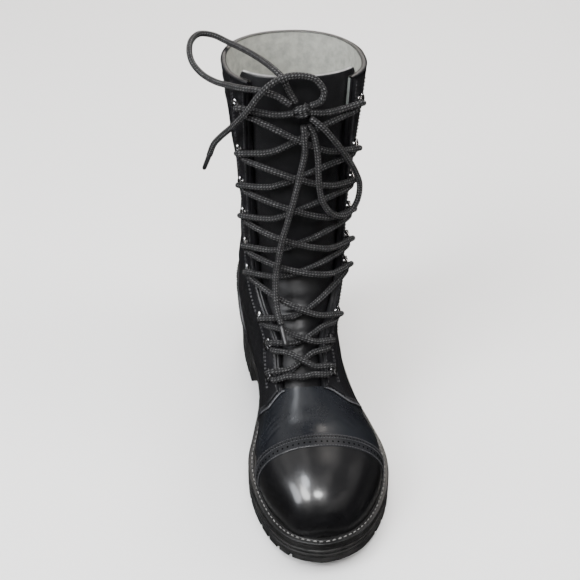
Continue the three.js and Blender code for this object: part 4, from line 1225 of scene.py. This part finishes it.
def seam_runs():
    """Thread rows, those of the facings first: rows, angles, lift and pitch."""
    rows = []
    over = QUARTER_STEP + GAP + OVERLAY
    for side in (1, -1):
        u = np.linspace(THROAT_ROW + 0.25, COLLAR_ROW - 0.08, 320)
        for inset_by in (1.6, EYESTAY_WIDTH - 1.6, EYESTAY_WIDTH - 3.6):
            rows.append((u, edge_angle(u, side, EYESTAY_INSET + inset_by), over, 3.0))
        s = np.linspace(0, 1, 160)
        angle = side * (THROAT_ANGLE + 0.04 + s * 1.75)
        for back in (0.10, 0.22):
            rows.append((quarter_front(angle) + back, angle, QUARTER_STEP, 3.0))
    for back in (10.0, 22.0, 24.2):
        angle = np.linspace(0.95, 2 * math.pi - 0.95, 420)
        rows.append((np.full(angle.shape, COLLAR_ROW - back / 30.5), angle, QUARTER_STEP, 3.2))
    for side in (-1, 1):
        u = np.linspace(BACKSTAY_ROW + 0.1, COLLAR_ROW - 0.1, 300)
        for w in (1.6, 3.6):
            rows.append((u, angle_after(u, math.pi, side * (BACKSTAY_WIDTH / 2 - w)), over - 0.2, 3.0))
    for back in (1.8, 3.9):
        angle = np.linspace(1.85, 2 * math.pi - 1.85, 300)
        rows.append((counter_row(angle) - back / 14.0, angle, over, 3.0))
        for side in (-1, 1):
            u = np.linspace(10.5, 14.5, 160)
            rows.append((u, angle_after(u, side * counter_side(u, side), side * back * 1.2), over, 3.0))
    return rows


def line_above_welt(u, angle, lift):
    """A line over the upper and its normals, without what lies behind the welt."""
    line, normals = surface_line(u, angle, lift)
    keep = line[:, 2] > rise(line[:, 1]) + WELT_TOP + 1
    return line[keep], normals[keep]


# How many of the rows are the facings'
FACING_RUNS = 10
# Seams of the cap's band: distance from its rear edge, pitch and width of the thread
CAP_SEAMS = ((1.5, 2.0, 0.7), (4.2, 2.0, 0.7), (10.3, 2.2, 0.75))
# Punched holes of the band: distance from the rear edge, pitch and radius
LARGE_HOLES, SMALL_HOLES = (7.2, 4.2, 0.75), (2.85, 2.9, 0.42)


def make_seams():
    """All the thread of the upper, the cut edge beside the throat's corners coloured lighter as a painted
    highlight, and the cap's punched holes as near-black discs of painted shade.
    """
    runs, facing = [], []
    for k, (u, angle, lift, pitch) in enumerate(seam_runs()):
        line, normals = line_above_welt(u, angle, lift)
        if len(line) > 4:
            group = facing if k < FACING_RUNS else runs
            group.append(stitch_run(line, normals, pitch, pitch * 0.74, 0.68, 0.1))
    make_mesh("seams", *merged(runs), THREAD, "upper_leather")
    make_mesh("facing_seams", *merged(facing), SEAM_THREAD, "upper_leather")
    # The cut edge beside each throat corner, a thin tube coloured as a painted highlight
    for side, word in SIDES:
        angle = side * (THROAT_ANGLE + 0.02 + np.linspace(0, 1, 60) * 0.75)
        line = surface_line(quarter_front(angle) + 0.035, angle, QUARTER_STEP - 0.25)[0]
        make_mesh(f"corner_edge_{word}", *tube(line, 1.0, 8, 0.8)[:2], CORNER_EDGE_SHEEN, "upper_leather")
    angle = np.linspace(-2.0, 2.0, 420)
    over = GAP + OVERLAY + 0.6
    cap = []
    for back, pitch, width in CAP_SEAMS:
        line, normals = line_above_welt(back_from_cap(back, angle), angle, over)
        cap.append(stitch_run(line, normals, pitch, pitch * 0.72, width, 0.12))
    make_mesh("cap_seam", *merged(cap), SEAM_THREAD, "upper_leather")
    # The punched holes are flat near-black discs: painted shade for the dark inside of each hole
    line, normals = surface_line(back_from_cap(LARGE_HOLES[0], angle), angle, over + 0.02)
    keep = line[:, 2] > rise(line[:, 1]) + WELT_TOP + 1
    large = hole_row(line[keep], normals[keep], *LARGE_HOLES[1:])
    line, normals = surface_line(back_from_cap(SMALL_HOLES[0], angle), angle, over + 0.02)
    small = hole_row(line[keep], normals[keep], *SMALL_HOLES[1:])
    make_mesh("cap_holes", *merged([large, small]), HOLE, "upper_leather")


make_seams()

# Welt and sole

EDGE = sole_outline(420)[0]


def around_sole(far_in, height):
    """A line around the sole, inside its edge and at a height over its underside."""
    line = inset(EDGE, far_in)
    return np.column_stack([line, rise(line[:, 1]) + height])


def sweep(name, profile, slot, replaced):
    """A leather band around the sole: profile gives (how far in, height) pairs from the inner top
    outward and down."""
    points = np.concatenate([around_sole(far_in, height) for far_in, height in profile])
    faces = grid_faces(len(profile), len(EDGE), wrap=True)
    make_mesh(name, points, faces, WELT_LEATHER, slot, (replaced,))


BAND_DEPTH = 13


def bead(low, high, far_in, radius):
    """Profile of a flat band with rounded outer corners."""
    rows = [(BAND_DEPTH, high)]
    for a in np.linspace(0, math.pi / 2, 5):
        rows.append((far_in + radius * (1 - math.sin(a)), high - radius * (1 - math.cos(a))))
    for a in np.linspace(0, math.pi / 2, 5):
        rows.append((far_in + radius * (1 - math.cos(a)), low + radius * (1 - math.sin(a))))
    return rows + [(BAND_DEPTH, low)]


sweep("welt_band", bead(WELT_BOTTOM, WELT_TOP, 0.0, 0.9), "welt_leather", "welt")
sweep("midsole_band", bead(MIDSOLE_BOTTOM - 0.2, MIDSOLE_TOP + 0.2, 0.8, 0.5), "midsole_leather", "midsole")


STITCHES_IN, RAND_IN, RAND_WIDTH = 3.1, 4.6, 1.5


def make_welt_stitches():
    """The pale stitches on the welt and the rand between them and the upper."""
    line = around_sole(STITCHES_IN, WELT_TOP)
    line = np.vstack([line, line[:1]])
    up = np.tile([0.0, 0.0, 1.0], (len(line), 1))
    stitches = stitch_run(line, up, 4.6, 3.2, 1.15, 0.2)
    make_mesh("welt_stitches", *merged([stitches]), PALE_THREAD, "welt_leather")
    line = around_sole(RAND_IN, WELT_TOP)
    rand = tube(np.vstack([line, line[:1]]), RAND_WIDTH, 8, 1.2, cap=False)
    make_mesh("rand", *rand[:2], WELT_LEATHER, "welt_leather")


make_welt_stitches()

WALL_EDGE = sole_outline(1500)[0]
SOLE_CORNERS = 52
GROOVE_PITCH, GROOVE_WIDTH, SLOT_DEPTH = 17.0, 3.6, 4.0
# The first slots at the toe, on the inner and on the outer side
FIRST_SLOT = (-144, -128)
# The smooth walls stand this far outside the solids' faceted ones
WALL_LIFT = 0.12


def slot_places(from_y, to_y):
    """Where the tread's edge slots open through the wall, as the solids have them."""
    corners = sole_outline(SOLE_CORNERS)[0]
    places, travelled, cut = [], 0.0, GROOVE_PITCH / 2
    for i in range(SOLE_CORNERS):
        p, q = corners[i], corners[(i + 1) % SOLE_CORNERS]
        if from_y < p[1] < to_y:
            travelled += np.linalg.norm(q - p)
            if travelled > cut:
                places.append(p)
                cut += GROOVE_PITCH
    return np.array(places)


def wall(name, far_in, rows, used, slots=None):
    """The smooth side of a rubber layer. Each row is how far in, the height, whether that is over the
    floor or over the sole's underside, and whether the slots are open there."""
    out = outward_at(WALL_EDGE)
    is_open = np.zeros(len(WALL_EDGE), dtype=bool)
    if slots is not None:
        is_open = np.linalg.norm(WALL_EDGE[:, None] - slots[None], axis=2).min(1) < GROOVE_WIDTH / 2
        x, y = WALL_EDGE.T
        is_open &= y > np.where(x > 0, FIRST_SLOT[1], FIRST_SLOT[0])
    rings = []
    for into, height, over_floor, slotted in rows:
        sunk = np.where(is_open & slotted, SLOT_DEPTH, 0.0)
        line = WALL_EDGE - out * (far_in - WALL_LIFT + into + sunk)[:, None]
        rings.append(np.column_stack([line, height + (0 if over_floor else 1) * rise(WALL_EDGE[:, 1])]))
    points = np.stack(rings)
    count = len(WALL_EDGE)
    here = used(WALL_EDGE[:, 1])
    faces = [f for f in grid_faces(len(rows), count, wrap=True) if all(here[i % count] for i in f)]
    make_mesh(name, points.reshape(-1, 3), faces, RUBBER, "sole_rubber")


# Rows of the rubber's side from its top down: how far in, and the height
TOP_ROWS = ((3.0, 12.5), (0.9, 12.5), (0.35, 12.37), (0.07, 12.05), (0.0, 11.6), (0.0, 9.6), (0.45, 9.4),
            (0.45, 9.1), (0.0, 8.9), (0.0, 5.6), (0.5, 5.48), (3.0, 5.48))
wall("outsole_wall", 0.0, [(i, h, False, False) for i, h in TOP_ROWS], lambda y: y < SOLE_LENGTH)
# The same for the lugs, with the rows where the slots are open
LUG_ROWS = ((0.0, 5.7, False), (0.0, 3.62, False), (0.0, 3.6, True), (0.0, 0.9, True), (0.22, 0.25, True),
            (0.8, 0.03, True), (3.0, 0.03, True))
wall("lug_wall", 0.0, [(i, h, False, o) for i, h, o in LUG_ROWS], lambda y: y < TREAD_END,
     slot_places(TOE - 5, TREAD_END))
HEEL_TOP = LUG_HEIGHT - GAP
HEEL_ROWS = [(i, HEEL_TOP - down, False, False) for i, down in ((3.0, 0), (0.6, 0), (0.15, 0.15), (0.0, 0.6))]
# Heights of the two lines around the heel
for level in (14.0, 7.5):
    HEEL_ROWS += [(i, level + over, True, False)
                  for i, over in ((0.0, 0.25), (0.4, 0.1), (0.4, -0.1), (0.0, -0.25))]
HEEL_ROWS += [(i, h, True, o) for i, h, o in LUG_ROWS[1:]]
wall("heel_wall", 0.4, HEEL_ROWS, lambda y: y > HEEL_BREAST + 0.3, slot_places(HEEL_BREAST + 3.6, HEEL + 5))

for name, material in (("outsole", RUBBER), ("heel", RUBBER), ("insole", BOARD)):
    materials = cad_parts[name].data.materials
    materials.clear()
    materials.append(material)

# Stage

TOE_AIM = (0, -0.05, 0.1)


def area_light(name, place, aim, size, power, tint=(1, 1, 1), shape="RECTANGLE"):
    light = bpy.data.lights.new(name, "AREA")
    light.shape = shape
    light.size, light.size_y = size
    light.energy = power
    light.color = tint
    obj = bpy.data.objects.new(name, light)
    obj.location = place
    obj.rotation_euler = (Vector(aim) - Vector(place)).to_track_quat("-Z", "Y").to_euler()
    bpy.context.scene.collection.objects.link(obj)
    return obj


def world_range(tree, source, from_low, from_high, to_low, to_high):
    """A value of the world's light moved from one range to another."""
    node = tree.nodes.new("ShaderNodeMapRange")
    words = ("From Min", "From Max", "To Min", "To Max")
    for word, value in zip(words, (from_low, from_high, to_low, to_high)):
        node.inputs[word].default_value = value
    tree.links.new(source, node.inputs["Value"])
    return node.outputs["Result"]


def make_world():
    """Dark below and paler upwards, in soft patches, for the reflections in the gloss."""
    world = bpy.context.scene.world or bpy.data.worlds.new("world")
    bpy.context.scene.world = world
    world.use_nodes = True
    tree = world.node_tree
    coord = tree.nodes.new("ShaderNodeTexCoord")
    split = tree.nodes.new("ShaderNodeSeparateXYZ")
    tree.links.new(coord.outputs["Generated"], split.inputs[0])
    height = world_range(tree, split.outputs["Z"], -0.02, 0.75, 0.03, 0.5)
    cloud = tree.nodes.new("ShaderNodeTexNoise")
    cloud.inputs["Scale"].default_value = 2.1
    cloud.inputs["Detail"].default_value = 1.0
    tree.links.new(coord.outputs["Generated"], cloud.inputs["Vector"])
    patches = world_range(tree, cloud.outputs["Fac"], 0.44, 0.58, 0.25, 1.35)
    both = tree.nodes.new("ShaderNodeMath")
    both.operation = "MULTIPLY"
    tree.links.new(height, both.inputs[0])
    tree.links.new(patches, both.inputs[1])
    tree.links.new(both.outputs[0], tree.nodes["Background"].inputs["Strength"])
    tree.nodes["Background"].inputs["Color"].default_value = (1.0, 0.97, 0.94, 1)


def make_stage():
    """The pale floor, a pale backdrop that only the camera sees, and the lights."""
    bpy.ops.mesh.primitive_plane_add(size=14, location=(0, 0, -0.0005))
    floor = bpy.context.object
    floor.name = "floor"
    pale = {"Base Color": (0.82, 0.82, 0.82), "Roughness": 0.8, "Specular IOR Level": 0.2}
    floor.data.materials.append(Nodes("floor_pale").done(**pale))
    bpy.ops.mesh.primitive_cylinder_add(radius=6.5, depth=8, end_fill_type="NOTHING", location=(0, 0, 3.5))
    backdrop = bpy.context.object
    backdrop.name = "backdrop"
    glow = {"Base Color": (0, 0, 0), "Roughness": 1.0, "Specular IOR Level": 0.0,
            "Emission Color": (0.62, 0.62, 0.63), "Emission Strength": 1.0}
    backdrop.data.materials.append(Nodes("backdrop_pale").done(**glow))
    backdrop.visible_diffuse = False
    backdrop.visible_shadow = False
    make_world()
    area_light("key", (-1.2, -0.8, 1.45), TOE_AIM, (1.0, 0.7), 30, shape="ELLIPSE")
    area_light("front", (-0.1, -0.95, 1.55), TOE_AIM, (0.55, 0.4), 15, shape="ELLIPSE")
    area_light("left", (-0.95, -0.3, 1.8), TOE_AIM, (0.45, 0.7), 11, (0.9, 0.94, 1.0), "ELLIPSE")
    area_light("side", (-1.5, -0.45, 0.7), (0, -0.02, 0.14), (0.7, 0.7), 9, (0.93, 0.95, 1.0), "ELLIPSE")
    area_light("back", (0.25, 1.5, 1.5), (0, 0, 0.15), (1.0, 1.1), 30, (1.0, 0.93, 0.86))
    soft = [area_light("right", (1.5, -0.3, 1.1), (0, 0, 0.12), (0.8, 1.2), 22, (1.0, 0.97, 0.95)),
            area_light("top", (0.0, 0.0, 2.6), (0, 0, 0), (1.6, 1.6), 60)]
    # These light the boot softly without a picture of themselves in its gloss
    for obj in soft + [floor, backdrop]:
        obj.visible_glossy = False


make_stage()
